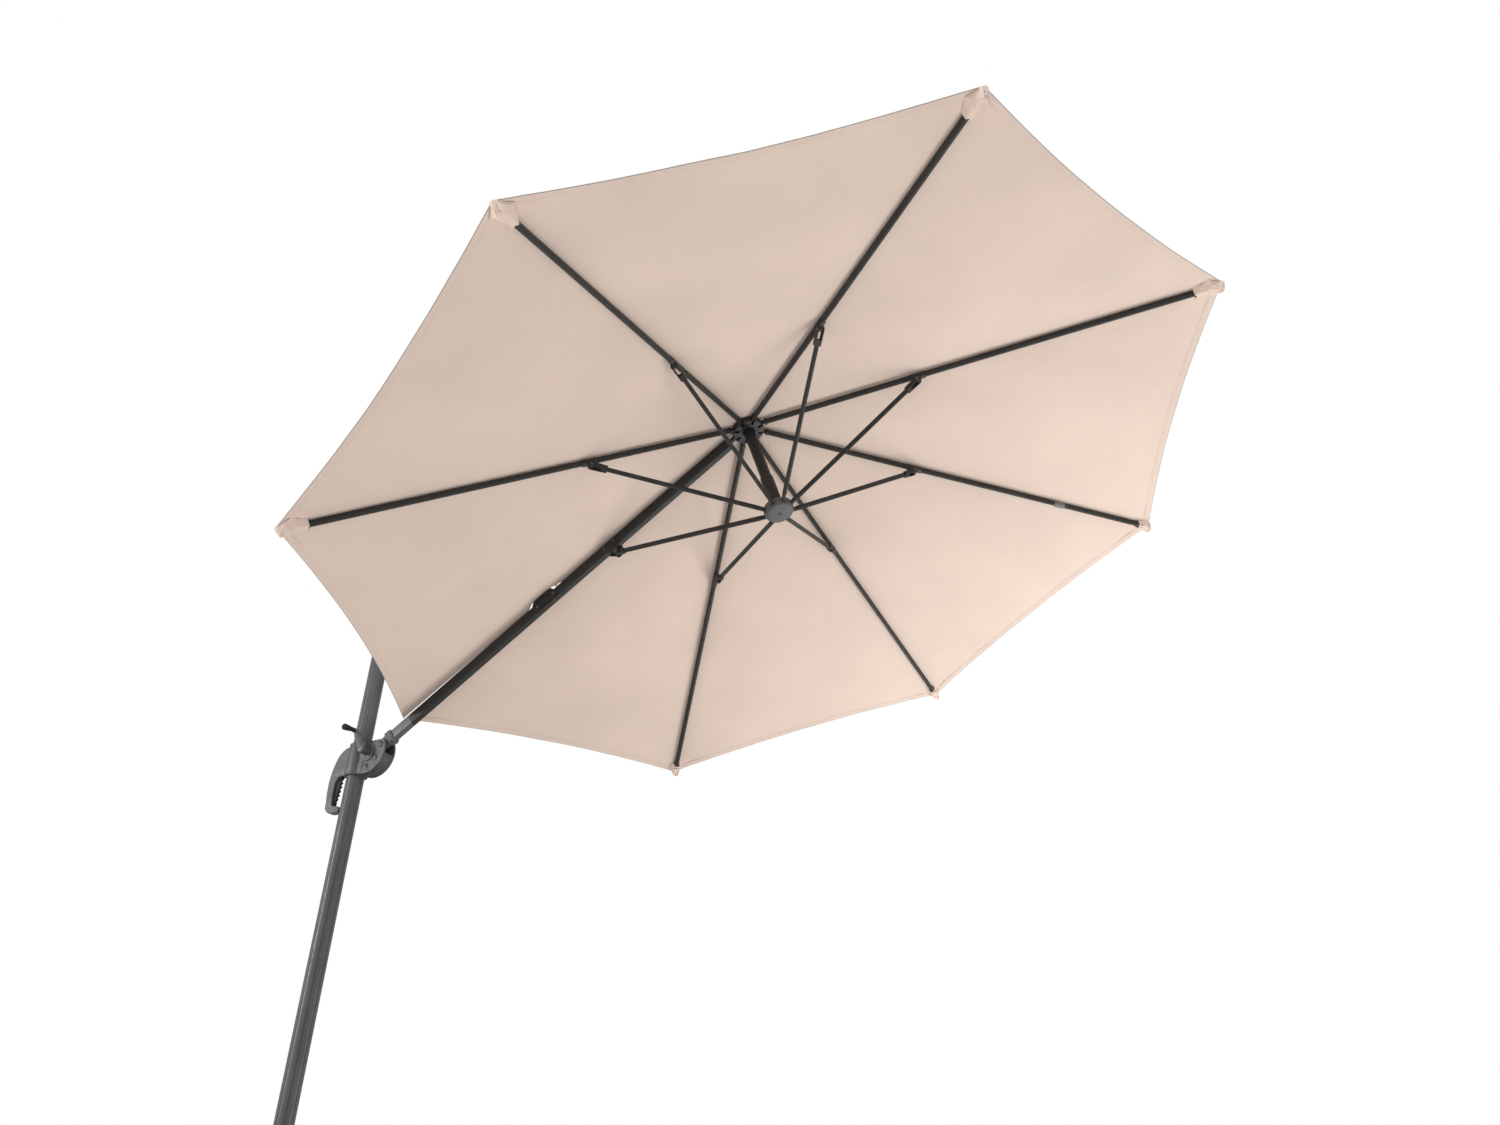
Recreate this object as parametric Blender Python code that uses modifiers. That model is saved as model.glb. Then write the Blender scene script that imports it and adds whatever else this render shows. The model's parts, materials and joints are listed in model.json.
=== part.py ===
"""Cantilever parasol: an eight-sided canopy that hangs from an arm beside its mast.

The mast turns on a cross base. A carriage slides on the mast and carries the arm, an upper strut
ties the arm to the mast's head, and the arm is the eighth rib of the canopy. The other seven ribs
hang from the crown, and eight struts link all the ribs to a runner with a post.

Metres, +Z up. The origin is on the ground on the mast's axis, and +X points towards the canopy.
"""

import math

import bmesh
import bpy
from mathutils import Matrix, Vector

# ---- driving dimensions, in metres and degrees ----
SIDES = 8  # ribs of the canopy, the arm included
GAP = 0.0003  # between touching pieces

CANOPY_RADIUS = 1.50  # axis to a rib's tip
CANOPY_DROP = 0.483  # crown's top to the tips, along the canopy's axis
CANOPY_TILT = 18.8
CORNER_RADIUS = 1.541  # the corner over the arm lies further out and higher than the others
CORNER_DROP = 0.400
HEM_SAG = 0.027  # how far the hem's middle is pulled in
CROWN_TOP = Vector((1.505, 0, 2.500))

MAST_RADIUS = 0.0305
MAST_WALL = 0.0025
MAST_TOP = 2.470
ARM_ANGLE = 33.8
ARM_PIVOT = Vector((0.060, 0, 1.506))  # centre of the carriage's drum
ARM_HEIGHT, ARM_WIDTH = 0.040, 0.024
BRACKET_REACH = 0.827  # arm's pivot to the upper strut's bracket, along the arm
BRACKET_RISE = 0.060  # that bracket's pin above the arm's middle

PIVOT_RING = 0.045  # radius of the rib pivots in the crown, and of the strut pivots in the runner
PIVOT_DEPTH = 0.032  # rib pivots below the crown's top
RIB_HEIGHT, RIB_WIDTH = 0.020, 0.014
STRUT_HEIGHT, STRUT_WIDTH = 0.017, 0.012
LINK = 0.577  # crown pivot to rib joint, and rib joint to runner pivot: equal, so the post runs true
JOINT_OFFSET = 0.016  # rib joint below the rib's middle

BEAM_LENGTH = 1.05
BEAM_HEIGHT = 0.050
SLAB_SIDE, SLAB_THICKNESS = 0.480, 0.040

FABRIC_THICKNESS = 0.002


# ---- collections, materials and placing ----
def clear_scene():
    for obj in list(bpy.data.objects):
        bpy.data.objects.remove(obj, do_unlink=True)


def collection(name):
    made = bpy.data.collections.new(name)
    bpy.context.scene.collection.children.link(made)
    return made


def material(name, colour, roughness, metallic):
    made = bpy.data.materials.new(name)
    made.use_nodes = True
    shader = made.node_tree.nodes["Principled BSDF"]
    shader.inputs["Base Color"].default_value = (*colour, 1)
    shader.inputs["Roughness"].default_value = roughness
    shader.inputs["Metallic"].default_value = metallic
    made.diffuse_color = (*colour, 1)
    return made


clear_scene()
PARTS = collection("cantilever_parasol")
CUTTERS = collection("cutters")
PAINT = material("painted_aluminium", (0.085, 0.085, 0.088), 0.5, 0.3)
PLASTIC = material("dark_plastic", (0.06, 0.06, 0.062), 0.55, 0.0)
RUBBER = material("black_rubber", (0.02, 0.02, 0.02), 0.8, 0.0)
STEEL = material("plated_steel", (0.55, 0.55, 0.56), 0.35, 1.0)
CONCRETE = material("concrete", (0.38, 0.37, 0.35), 0.9, 0.0)
FABRIC = material("canopy_fabric", (0.62, 0.52, 0.45), 0.9, 0.0)


def direction(degrees):
    """A unit vector in the XZ plane, at this angle above +X."""
    turn = math.radians(degrees)
    return Vector((math.cos(turn), 0, math.sin(turn)))


def placed(origin, x_axis, z_axis=(0, 0, 1)):
    """A frame at origin, with +X along x_axis and +Z as near z_axis as it can be."""
    x = Vector(x_axis).normalized()
    y = Vector(z_axis).cross(x).normalized()
    frame = Matrix((x, y, x.cross(y))).transposed().to_4x4()
    frame.translation = origin
    return frame


def joint(name, frame):
    """An empty on a joint's axis, which carries the pieces that move on that joint."""
    empty = bpy.data.objects.new(name, None)
    empty.matrix_world = frame
    empty.empty_display_size = 0.05
    PARTS.objects.link(empty)
    return empty


def add(name, mesh, body, finish=None):
    """A piece in its body's frame, or a cutter where it has no finish."""
    obj = bpy.data.objects.new(name, mesh)
    (PARTS if finish else CUTTERS).objects.link(obj)
    obj.parent = body
    if finish:
        mesh.materials.append(finish)
        mesh.shade_smooth()
        mesh.set_sharp_from_angle(angle=math.radians(35))
    else:
        obj.hide_render = True
        obj.display_type = "WIRE"
    return obj


def boolean(obj, operation, *tools):
    for tool in tools:
        step = obj.modifiers.new(tool.name, "BOOLEAN")
        step.operation = operation
        step.object = tool
    return obj


def join(obj, *tools):
    return boolean(obj, "UNION", *tools)


def cut(obj, *tools):
    return boolean(obj, "DIFFERENCE", *tools)


def bevel(obj, width, segments=1):
    step = obj.modifiers.new("rounded edges", "BEVEL")
    step.width = width
    step.segments = segments
    step.limit_method = "ANGLE"
    return obj


# ---- shapes, as meshes in a body's frame ----
def mesh_of(name, shape):
    mesh = bpy.data.meshes.new(name)
    shape.to_mesh(mesh)
    shape.free()
    return mesh


def block(name, low, high):
    low, high = Vector(low), Vector(high)
    shape = bmesh.new()
    place = Matrix.Translation((low + high) / 2) @ Matrix.Diagonal((*(high - low), 1))
    bmesh.ops.create_cube(shape, size=1, matrix=place)
    return mesh_of(name, shape)


def rod(name, start, end, radius, sides=12, end_radius=None):
    start, end = Vector(start), Vector(end)
    turn = (end - start).to_track_quat("Z", "Y").to_matrix().to_4x4()
    shape = bmesh.new()
    bmesh.ops.create_cone(
        shape,
        cap_ends=True,
        segments=sides,
        radius1=radius,
        radius2=radius if end_radius is None else end_radius,
        depth=(end - start).length,
        matrix=Matrix.Translation((start + end) / 2) @ turn,
    )
    return mesh_of(name, shape)


def arc(centre, radius, start, end, steps):
    """Points on an arc in the XZ plane, from one angle to another."""
    angles = [math.radians(start + (end - start) * n / steps) for n in range(steps + 1)]
    return [
        (centre[0] + radius * math.cos(a), centre[1] + radius * math.sin(a)) for a in angles
    ]


def plate(name, outline, near, far):
    """A flat piece with an outline of (x, z) points, from y = near to y = far."""
    curve = bpy.data.curves.new(name, "CURVE")
    curve.dimensions = "2D"
    curve.fill_mode = "BOTH"
    curve.extrude = (far - near) / 2
    line = curve.splines.new("POLY")
    line.points.add(len(outline) - 1)
    for point, (x, z) in zip(line.points, outline):
        point.co = (x, z, 0, 1)
    line.use_cyclic_u = True
    flat = bpy.data.objects.new(name, curve)
    CUTTERS.objects.link(flat)
    ready = flat.evaluated_get(bpy.context.evaluated_depsgraph_get())
    mesh = bpy.data.meshes.new_from_object(ready)
    bpy.data.objects.remove(flat)
    bpy.data.curves.remove(curve)
    upright = Matrix.Translation((0, (near + far) / 2, 0)) @ Matrix.Rotation(math.pi / 2, 4, "X")
    shape = bmesh.new()
    shape.from_mesh(mesh)
    bmesh.ops.transform(shape, matrix=upright, verts=shape.verts)
    bmesh.ops.remove_doubles(shape, verts=shape.verts, dist=0.00001)
    bmesh.ops.recalc_face_normals(shape, faces=shape.faces)
    shape.to_mesh(mesh)
    shape.free()
    return mesh


def turned(name, body, profile, finish, sides=20):
    """A piece turned about its body's Z axis from (radius, height) points down its outer side."""
    mesh = bpy.data.meshes.new(name)
    points = [(radius, 0, height) for radius, height in profile]
    solid = profile[0][0] == 0 == profile[-1][0]  # such a profile needs no edge along the axis
    edges = [(n, (n + 1) % len(points)) for n in range(len(points) - solid)]
    mesh.from_pydata(points, edges, [])
    obj = add(name, mesh, body, finish)
    spin = obj.modifiers.new("turned", "SCREW")
    spin.steps = spin.render_steps = sides
    spin.use_merge_vertices = True
    spin.merge_threshold = 0.00001
    return obj


def rounded_section(width, height, radius, steps=1):
    """An oblong with round corners, as (y, z) points that run from +Y towards +Z."""
    points = []
    for turn, (side, rise) in enumerate(((1, 1), (-1, 1), (-1, -1), (1, -1))):
        centre = (side * (width / 2 - radius), rise * (height / 2 - radius))
        points += arc(centre, radius, 90 * turn, 90 * turn + 90, steps)
    return points


def tube(name, body, section, start, end, wall, finish):
    """A hollow tube along its body's X axis, open at both ends."""
    shape = bmesh.new()
    rings = [[shape.verts.new((x, y, z)) for y, z in section] for x in (start, end)]
    for n in range(len(section)):
        after = (n + 1) % len(section)
        shape.faces.new((rings[0][n], rings[1][n], rings[1][after], rings[0][after]))
    bmesh.ops.reverse_faces(shape, faces=shape.faces)
    obj = add(name, mesh_of(name, shape), body, finish)
    shell = obj.modifiers.new("wall", "SOLIDIFY")
    shell.thickness = wall
    shell.offset = -1
    shell.use_even_offset = True
    return obj


def eye(centre, radius, reach, half_height):
    """An outline with a round end about centre, which runs along +X to reach."""
    return arc(centre, radius, 270, 90, 5) + [
        (reach, centre[1] + half_height),
        (reach, centre[1] - half_height),
    ]


# ---- base ----
def build_base():
    root = joint("base", Matrix())
    web, flange, flange_height = 0.006, 0.055, 0.005
    section = [
        (-flange, 0),
        (flange, 0),
        (flange, flange_height),
        (web, flange_height),
        (web, BEAM_HEIGHT),
        (-web, BEAM_HEIGHT),
        (-web, flange_height),
        (-flange, flange_height),
    ]
    half = BEAM_LENGTH / 2
    across = add("base_beam_across", plate("base_beam_across", section, -half, half), root, PAINT)
    along = add("base_beam_along", plate("base_beam_along", section, -half, half), root, PAINT)
    along.rotation_euler.z = math.pi / 2
    # the beams cross in a halving joint: one is notched from below and the other from above
    room, middle = web + GAP, BEAM_HEIGHT / 2
    notches = (
        ((-flange - GAP, -flange - GAP, -0.01), (flange + GAP, flange + GAP, flange_height + GAP)),
        ((-0.06, -room, -0.01), (0.06, room, middle + GAP)),
    )
    for n, (low, high) in enumerate(notches):
        cut(across, add(f"lower_notch_{n}", block("lower_notch", low, high), root))
    upper_notch = block("upper_notch", (-room, -0.06, middle), (room, 0.06, 0.06))
    cut(along, add("upper_notch", upper_notch, root))

    inner, outer = room, room + SLAB_SIDE
    low, high = flange_height + GAP, flange_height + GAP + SLAB_THICKNESS
    for n, (side_x, side_y) in enumerate(((1, 1), (-1, 1), (-1, -1), (1, -1)), start=1):
        xs = sorted((side_x * inner, side_x * outer))
        ys = sorted((side_y * inner, side_y * outer))
        name = f"ballast_slab_{n}"
        slab = add(name, block(name, (xs[0], ys[0], low), (xs[1], ys[1], high)), root, CONCRETE)
        bevel(slab, 0.004)

    floor = BEAM_HEIGHT + GAP
    plate_profile = [
        (0.0, floor + 0.110),
        (0.015, floor + 0.110),
        (0.0175, floor + 0.106),
        (0.0175, floor + 0.008),
        (0.110, floor + 0.008),
        (0.112, floor + 0.006),
        (0.112, floor),
        (0.0, floor),
    ]
    centre = turned("base_centre_plate", root, plate_profile, PAINT, 24)
    for n, side in enumerate((-1, 1)):
        near, far = sorted((side * 0.0185, side * 0.0245))
        outline = arc((-0.092, floor + 0.028), 0.009, 0, 180, 8)
        outline += [(-0.101, floor + 0.004), (-0.083, floor + 0.004)]
        ear = add(f"pedal_ear_{n}", plate("pedal_ear", outline, near, far), root)
        pin_line = (-0.092, floor + 0.028)
        ends = [(pin_line[0], y, pin_line[1]) for y in (near - 0.01, far + 0.01)]
        hole = rod("ear_bore", *ends, 0.0035)
        join(centre, ear)
        cut(centre, add(f"ear_bore_{n}", hole, root))

    bearing_foot = floor + 0.008 + GAP
    ring = [(0.0180, 0.008), (0.050, 0.008), (0.052, 0.006), (0.052, 0.0), (0.0180, 0.0)]
    ring = [(radius, bearing_foot + height) for radius, height in ring]
    turned("swivel_bearing", root, ring, PLASTIC)

    pin_height = floor + 0.028
    pin = rod("pedal_pin", (-0.092, -0.0265, pin_height), (-0.092, 0.0265, pin_height), 0.0032)
    add("pedal_pin", pin, root, STEEL)
    build_pedal(pin_height)
    return bearing_foot + 0.008


def build_pedal(pin_height):
    body = joint("pedal_joint", Matrix.Translation((-0.092, 0, pin_height)))
    lever = arc((0, 0), 0.009, -90, 60, 8)
    lever += [(-0.03, 0.016), (-0.15, 0.022), (-0.165, 0.018), (-0.168, 0.012), (-0.03, 0.002)]
    pedal = add("pedal", plate("pedal", lever, -0.0175, 0.0175), body, PLASTIC)
    pad = block("pedal_pad", (-0.172, -0.032, 0.012), (-0.095, 0.032, 0.0195))
    join(pedal, bevel(add("pedal_pad", pad, body), 0.003))
    bore = rod("pedal_bore", (0, -0.03, 0), (0, 0.03, 0), 0.0036)
    cut(pedal, add("pedal_bore", bore, body))


# ---- mast ----
def mast_section(radius):
    """An octagon with soft corners, whose flats face the eight canopy directions."""
    points = []
    for side in range(8):
        for step in (-16, 16):
            turn = math.radians(45 * side + step)
            points.append((radius * math.cos(turn), radius * math.sin(turn)))
    return points


def build_mast(bearing_top):
    foot = bearing_top + GAP
    body = joint("mast_joint", Matrix.Translation((0, 0, foot)))
    bore = MAST_RADIUS + 0.0004
    socket = [
        (0.0182, 0.012),
        (0.0182, 0.0),
        (0.052, 0.0),
        (0.054, 0.003),
        (0.054, 0.008),
        (0.042, 0.016),
        (0.038, 0.030),
        (0.038, 0.225),
        (0.036, 0.230),
        (bore, 0.230),
        (bore, 0.012),
    ]
    turned("mast_socket", body, socket[::-1], PAINT)
    shank = rod("socket_screw", (0, 0.0385, 0.15), (0, 0.062, 0.15), 0.006)
    knob = rod("screw_head", (0, 0.052, 0.15), (0, 0.070, 0.15), 0.019, 12)
    screw = join(add("socket_screw", shank, body, PLASTIC), add("screw_head", knob, body))
    bevel(screw, 0.001)

    # the tube's own frame stands on end, so that its X axis runs up the mast
    upright = joint("mast_upright", placed((0, 0, 0), (0, 0, 1), (-1, 0, 0)))
    section = mast_section(MAST_RADIUS)
    tube("mast_tube", upright, section, foot + 0.013, MAST_TOP, MAST_WALL, PAINT)

    top = joint("mast_head_frame", Matrix.Translation(HEAD_PIVOT))
    lower, roof = MAST_TOP - 0.075 - HEAD_PIVOT.z, MAST_TOP + GAP - HEAD_PIVOT.z
    x = -HEAD_PIVOT.x
    head = add("mast_head", rod("mast_head", (x, 0, lower), (x, 0, 0.012), 0.037, 24), top, PLASTIC)
    room = rod("head_bore", (x, 0, lower - 0.01), (x, 0, roof), bore, 24)
    cut(head, add("head_bore", room, top))
    for n, side in enumerate((-1, 1)):
        near, far = sorted((side * 0.0098, side * 0.0158))
        outline = arc((0, 0), 0.016, -60, 90, 8) + [(-0.020, 0.0115), (x, 0.0115)]
        outline += [(x, -0.040), (x + 0.036, -0.040)]
        join(head, add(f"head_ear_{n}", plate("head_ear", outline, near, far), top))
    join(head, add("head_pin", rod("head_pin", (0, -0.0185, 0), (0, 0.0185, 0), 0.005, 12), top))
    cap = [(0.0, 0.022), (0.020, 0.020), (0.032, 0.012), (0.037, 0.002), (0.037, 0.0), (0.0, 0.0)]
    crest = joint("mast_cap_frame", Matrix.Translation((0, 0, HEAD_PIVOT.z + 0.012 + GAP)))
    turned("mast_cap", crest, cap, PLASTIC)


def build_upper_strut():
    body = joint("tilt", placed(HEAD_PIVOT, BRACKET - HEAD_PIVOT, (0.5, 0, 0.8)))
    reach = (BRACKET - HEAD_PIVOT).length
    section = rounded_section(0.018, 0.026, 0.006)
    beam = tube("upper_strut", body, section, 0.034, reach - 0.040, 0.002, PAINT)
    for n, (origin, way, depth) in enumerate(((0, 1, 0.034), (reach, -1, 0.040))):
        outline = [(origin + way * px, pz) for px, pz in eye((0, 0), 0.013, depth + 0.012, 0.0090)]
        lug = add(f"strut_eye_{n}", plate("strut_eye", outline, -0.0075, 0.0075), body)
        hole = rod("eye_bore", (origin, -0.02, 0), (origin, 0.02, 0), 0.0055)
        join(beam, lug)
        cut(beam, add(f"eye_bore_{n}", hole, body))


# ---- carriage, with its crank and its grip ----
def build_carriage():
    body = joint("carriage", Matrix.Translation(ARM_PIVOT))
    mast = -ARM_PIVOT.x  # the mast's axis in the carriage's frame
    low, high = -0.076, 0.040
    bush_radius = MAST_RADIUS + 0.0030
    bush = [
        (bush_radius, high - 0.002),
        (bush_radius, low + 0.002),
        (MAST_RADIUS + 0.0004, low + 0.002),
        (MAST_RADIUS + 0.0004, high - 0.002),
    ]
    mast_line = joint("mast_line", Matrix.Translation((0, 0, ARM_PIVOT.z)))
    turned("carriage_bush", mast_line, bush, PLASTIC)

    drum, cheek = 0.078, 0.0205
    rim = arc((0, 0), drum, -112, -8, 10) + arc((0, 0), drum - 0.007, -8, -112, 10)
    wall = arc((0, 0), drum, -112, 28, 14)
    wall += [(0.062, high), (mast, high), (mast, low), (mast + 0.030, low)]
    # the sleeve and both cheeks are split down the middle, and each half is one moulding
    for name, side in (("carriage_shell_near", -1), ("carriage_shell_far", 1)):
        far = side * 0.028
        near, seam = side * cheek, side * GAP / 2
        shell = add(name, plate(name, wall, *sorted((near, far))), body, PLASTIC)
        sleeve = rod("sleeve", (mast, 0, low), (mast, 0, high), 0.040, 24)
        ribbed = plate("drum_rim", rim, *sorted((seam, near + side * 0.001)))
        join(shell, add(f"{name}_rim", ribbed, body), add(f"{name}_sleeve", sleeve, body))
        reach = Vector((0.2, 0, 0.2))
        other = block("other_half", -reach + Vector((0, -0.1, 0)), reach + Vector((0, 0.1, 0)))
        other = add(f"{name}_other_half", other, body)
        other.location.y = seam - side * 0.1
        ends = ((mast, 0, low - 0.01), (mast, 0, high + 0.01))
        bore = rod("shell_bore", *ends, bush_radius + GAP, 24)
        shaft = rod("shaft_bore", (0, -0.05, 0), (0, 0.05, 0), 0.0063)
        cut(shell, other, add(f"{name}_bore", bore, body), add(f"{name}_shaft_bore", shaft, body))

    outer = [(-0.095, 0.036), (-0.117, 0.036), (-0.132, 0.026), (-0.147, 0.010), (-0.159, -0.018)]
    outer += [(-0.167, -0.050), (-0.171, -0.086), (-0.169, -0.130), (-0.164, -0.160)]
    foot = arc((-0.132, -0.167), 0.033, 185, 270, 5) + [(-0.100, -0.200), (-0.096, -0.196)]
    inner = [(-0.096, -0.180), (-0.115, -0.176)] + arc((-0.123, -0.160), 0.014, 260, 190, 3)
    inner += [(-0.140, -0.125), (-0.139, -0.090), (-0.131, -0.072), (-0.117, -0.066)]
    outline = outer + foot + inner + [(-0.100, -0.072)]
    grip = add("carriage_grip", plate("carriage_grip", outline, -0.014, 0.014), body, PLASTIC)
    bevel(grip, 0.004)
    sleeve = rod("sleeve_room", (mast, 0, low - 0.02), (mast, 0, high + 0.02), 0.040 + GAP, 24)
    recess = block("trigger_recess", (-0.1580, -0.0065, -0.168), (-0.109, 0.0065, -0.050))
    pin = rod("trigger_pin_bore", (-0.139, -0.02, -0.060), (-0.139, 0.02, -0.060), 0.0021, 10)
    cut(grip, add("sleeve_room", sleeve, body), add("trigger_recess", recess, body))
    join(grip, add("trigger_pin", pin, body))


def build_trigger():
    pivot = ARM_PIVOT + Vector((-0.139, 0, -0.060))
    body = joint("grip_release", Matrix.Translation(pivot))
    fingers = 26
    teeth = []
    for n in range(fingers + 1):
        z = -0.014 - 0.088 * n / fingers
        teeth.append((0.0135 - 0.030 * (n / fingers) ** 2 * 0.35 + 0.0028 * math.sin(n * 1.5), z))
    back = [(-0.008, -0.104), (-0.006, -0.060), (-0.005, -0.008)]
    outline = teeth + back + arc((0, 0), 0.0062, 180, 20, 7)
    trigger = add("grip_trigger", plate("grip_trigger", outline, -0.0055, 0.0055), body, RUBBER)
    bore = rod("trigger_bore", (0, -0.02, 0), (0, 0.02, 0), 0.0026, 12)
    cut(trigger, add("trigger_bore", bore, body))


def build_crank():
    body = joint("crank", Matrix.Translation(ARM_PIVOT))
    add("crank_shaft", rod("crank_shaft", (0, -0.0305, 0), (0, 0.0265, 0), 0.006), body, STEEL)
    spool = [(0.0195, 0.0107), (0.0195, 0.009), (0.010, 0.008), (0.010, -0.008), (0.0195, -0.009)]
    spool += [(0.0195, -0.0107), (0.0063, -0.0107), (0.0063, 0.0107)]
    lying = joint("cord_spool_frame", placed(ARM_PIVOT, (1, 0, 0), (0, 1, 0)))
    turned("cord_spool", lying, spool, PLASTIC)

    hub = rod("crank_handle", (0, -0.064, 0), (0, -0.031, 0), 0.013, 20)
    hub = add("crank_handle", hub, body, PLASTIC)
    elbow = Vector((-0.044, -0.056, 0.075))  # the lever clears the sleeve as it turns
    lever = rod("crank_lever", (0, -0.0535, 0), elbow, 0.0105, 12, 0.0075)
    corner = bmesh.new()
    bmesh.ops.create_uvsphere(corner, u_segments=12, v_segments=8, radius=0.0085)
    bmesh.ops.translate(corner, verts=corner.verts, vec=elbow)
    corner = mesh_of("crank_corner", corner)
    knob = rod("crank_knob", elbow, elbow + Vector((-0.004, -0.058, -0.003)), 0.0072, 12, 0.0115)
    shapes = (("crank_lever", lever), ("crank_corner", corner), ("crank_knob", knob))
    join(hub, *(add(name, mesh, body) for name, mesh in shapes))


# ---- arm ----
def build_arm():
    body = joint("arm", placed(ARM_PIVOT, direction(ARM_ANGLE)))
    crown_end = body.matrix_world.inverted() @ crown_pivot(0)
    section = rounded_section(ARM_WIDTH, ARM_HEIGHT, 0.005)
    tube_end = crown_end.x - 0.036
    tube("arm_tube", body, section, 0.086, tube_end, 0.002, PAINT)

    # the heel is a fork about the spool, with a collar that takes the tube's end
    half_width, half_height = 0.0168, 0.0235
    heel = add(
        "arm_heel",
        block("arm_heel", (0.078, -half_width, -half_height), (0.104, half_width, half_height)),
        body,
        PLASTIC,
    )
    neck = block("heel_neck", (0.026, -0.0155, -0.0165), (0.080, 0.0155, 0.0165))
    join(heel, add("heel_neck", neck, body))
    for n, side in enumerate((-1, 1)):
        near, far = sorted((side * 0.0110, side * 0.0168))
        ear = plate("heel_ear", eye((0, 0), 0.0215, 0.036, 0.0165), near, far)
        join(heel, add(f"heel_ear_{n}", ear, body))
    pocket_section = rounded_section(ARM_WIDTH + 2 * GAP, ARM_HEIGHT + 2 * GAP, 0.005)
    pocket = bmesh.new()
    ring = pocket.faces.new([pocket.verts.new((0.0857, y, z)) for y, z in pocket_section])
    grown = bmesh.ops.extrude_face_region(pocket, geom=[ring])
    ends = [v for v in grown["geom"] if isinstance(v, bmesh.types.BMVert)]
    bmesh.ops.translate(pocket, verts=ends, vec=(0.03, 0, 0))
    bmesh.ops.recalc_face_normals(pocket, faces=pocket.faces)
    pocket = add("heel_pocket", mesh_of("heel_pocket", pocket), body)
    way = add("cord_way", rod("cord_way", (0.015, 0, 0), (0.11, 0, 0), 0.007), body)
    shaft = add("heel_bore", rod("heel_bore", (0, -0.03, 0), (0, 0.03, 0), 0.0063), body)
    spool_room = add("spool_room", rod("spool_room", (0, -0.011, 0), (0, 0.011, 0), 0.0205, 24), body)
    cut(heel, pocket, way, shaft, spool_room)

    # upper bracket: two cheeks on the arm's sides, joined by the pin that the upper strut turns on
    x, z = BRACKET_REACH, BRACKET_RISE
    cheek = arc((x, z), 0.014, 20, 160, 8)
    cheek += [(x - 0.058, 0.014), (x - 0.052, -0.012), (x + 0.046, -0.012), (x + 0.040, 0.020)]
    bracket_on_arm("strut_bracket_upper", body, cheek, (x, z))
    # lower bracket: the same, with the arm strut's pin below the arm
    x, z = (body.matrix_world.inverted() @ rib_joint(0)).xz
    cheek = arc((x, z), 0.013, 180, 350, 8)
    cheek += [(x + 0.030, -0.010), (x + 0.022, 0.012), (x - 0.044, 0.012), (x - 0.036, -0.014)]
    bracket_on_arm("strut_bracket_lower", body, cheek, (x, z))

    # crown end: a tongue in the crown's slot, with a plug in the tube
    at = Vector((crown_end.x, crown_end.z))
    tongue = eye((0, 0), 0.0075, 0.060, 0.0075)
    tongue = [(at.x - px, at.y + pz) for px, pz in tongue]
    tip = add("arm_tongue", plate("arm_tongue", tongue, -0.005, 0.005), body, PLASTIC)
    face = tube_end + GAP
    plug = block("tongue_plug", (tube_end - 0.03, -0.0095, -0.0140), (face, 0.0095, 0.0140))
    flange = block("tongue_flange", (face, -0.012, -0.017), (tube_end + 0.006, 0.012, 0.017))
    join(tip, add("tongue_plug", plug, body), add("tongue_flange", flange, body))


def bracket_on_arm(name, body, cheek, pin):
    """Two cheeks beside the arm, with a pin across them."""
    near, far = ARM_WIDTH / 2 + GAP, ARM_WIDTH / 2 + 0.0033
    obj = add(name, plate(name, cheek, -far, -near), body, PAINT)
    other = add(f"{name}_cheek", plate(f"{name}_cheek", cheek, near, far), body)
    ends = [(pin[0], y, pin[1]) for y in (-far - 0.002, far + 0.002)]
    across = rod(f"{name}_pin", *ends, 0.005, 12)
    join(obj, other, add(f"{name}_pin", across, body))


# ---- crown, ribs, struts and runner ----
def spoke(number):
    """The level direction of a rib about the canopy's axis; rib 0 is the arm, towards the mast."""
    turn = math.radians(180 + 360 / SIDES * number)
    return CROWN_FRAME.to_3x3() @ Vector((math.cos(turn), math.sin(turn), 0))


def on_spoke(number, radius, depth):
    """A point of the open canopy, by its rib, its distance from the axis and its depth."""
    return CROWN_TOP + spoke(number) * radius - CROWN_UP * depth


def crown_pivot(number):
    return on_spoke(number, PIVOT_RING, PIVOT_DEPTH)


def rib_joint(number):
    slope = RIB_SLOPE + math.asin(JOINT_OFFSET / LINK)
    radius = PIVOT_RING + LINK * math.cos(slope)
    return on_spoke(number, radius, PIVOT_DEPTH + LINK * math.sin(slope))


def runner_pivot(number):
    return on_spoke(number, PIVOT_RING, RUNNER_DEPTH)


CROWN_UP = direction(90 + CANOPY_TILT)
CROWN_FRAME = placed(CROWN_TOP, direction(CANOPY_TILT), CROWN_UP)
RIB_TIP_DEPTH = CANOPY_DROP + 0.0113  # the fabric lies on the rib
RIB_SLOPE = math.atan2(RIB_TIP_DEPTH - PIVOT_DEPTH, CANOPY_RADIUS - PIVOT_RING)
RIB_LENGTH = math.hypot(RIB_TIP_DEPTH - PIVOT_DEPTH, CANOPY_RADIUS - PIVOT_RING)
RUNNER_DEPTH = PIVOT_DEPTH + 2 * LINK * math.sin(RIB_SLOPE + math.asin(JOINT_OFFSET / LINK))
ARM_UP = direction(ARM_ANGLE + 90)
BRACKET = ARM_PIVOT + direction(ARM_ANGLE) * BRACKET_REACH + ARM_UP * BRACKET_RISE
# the carriage's pivot, the bracket and the mast's head make an isosceles triangle, so the
# carriage runs straight down the mast as the arm tilts
HEAD_PIVOT = Vector((ARM_PIVOT.x, 0, 2 * BRACKET.z - ARM_PIVOT.z))


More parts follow.
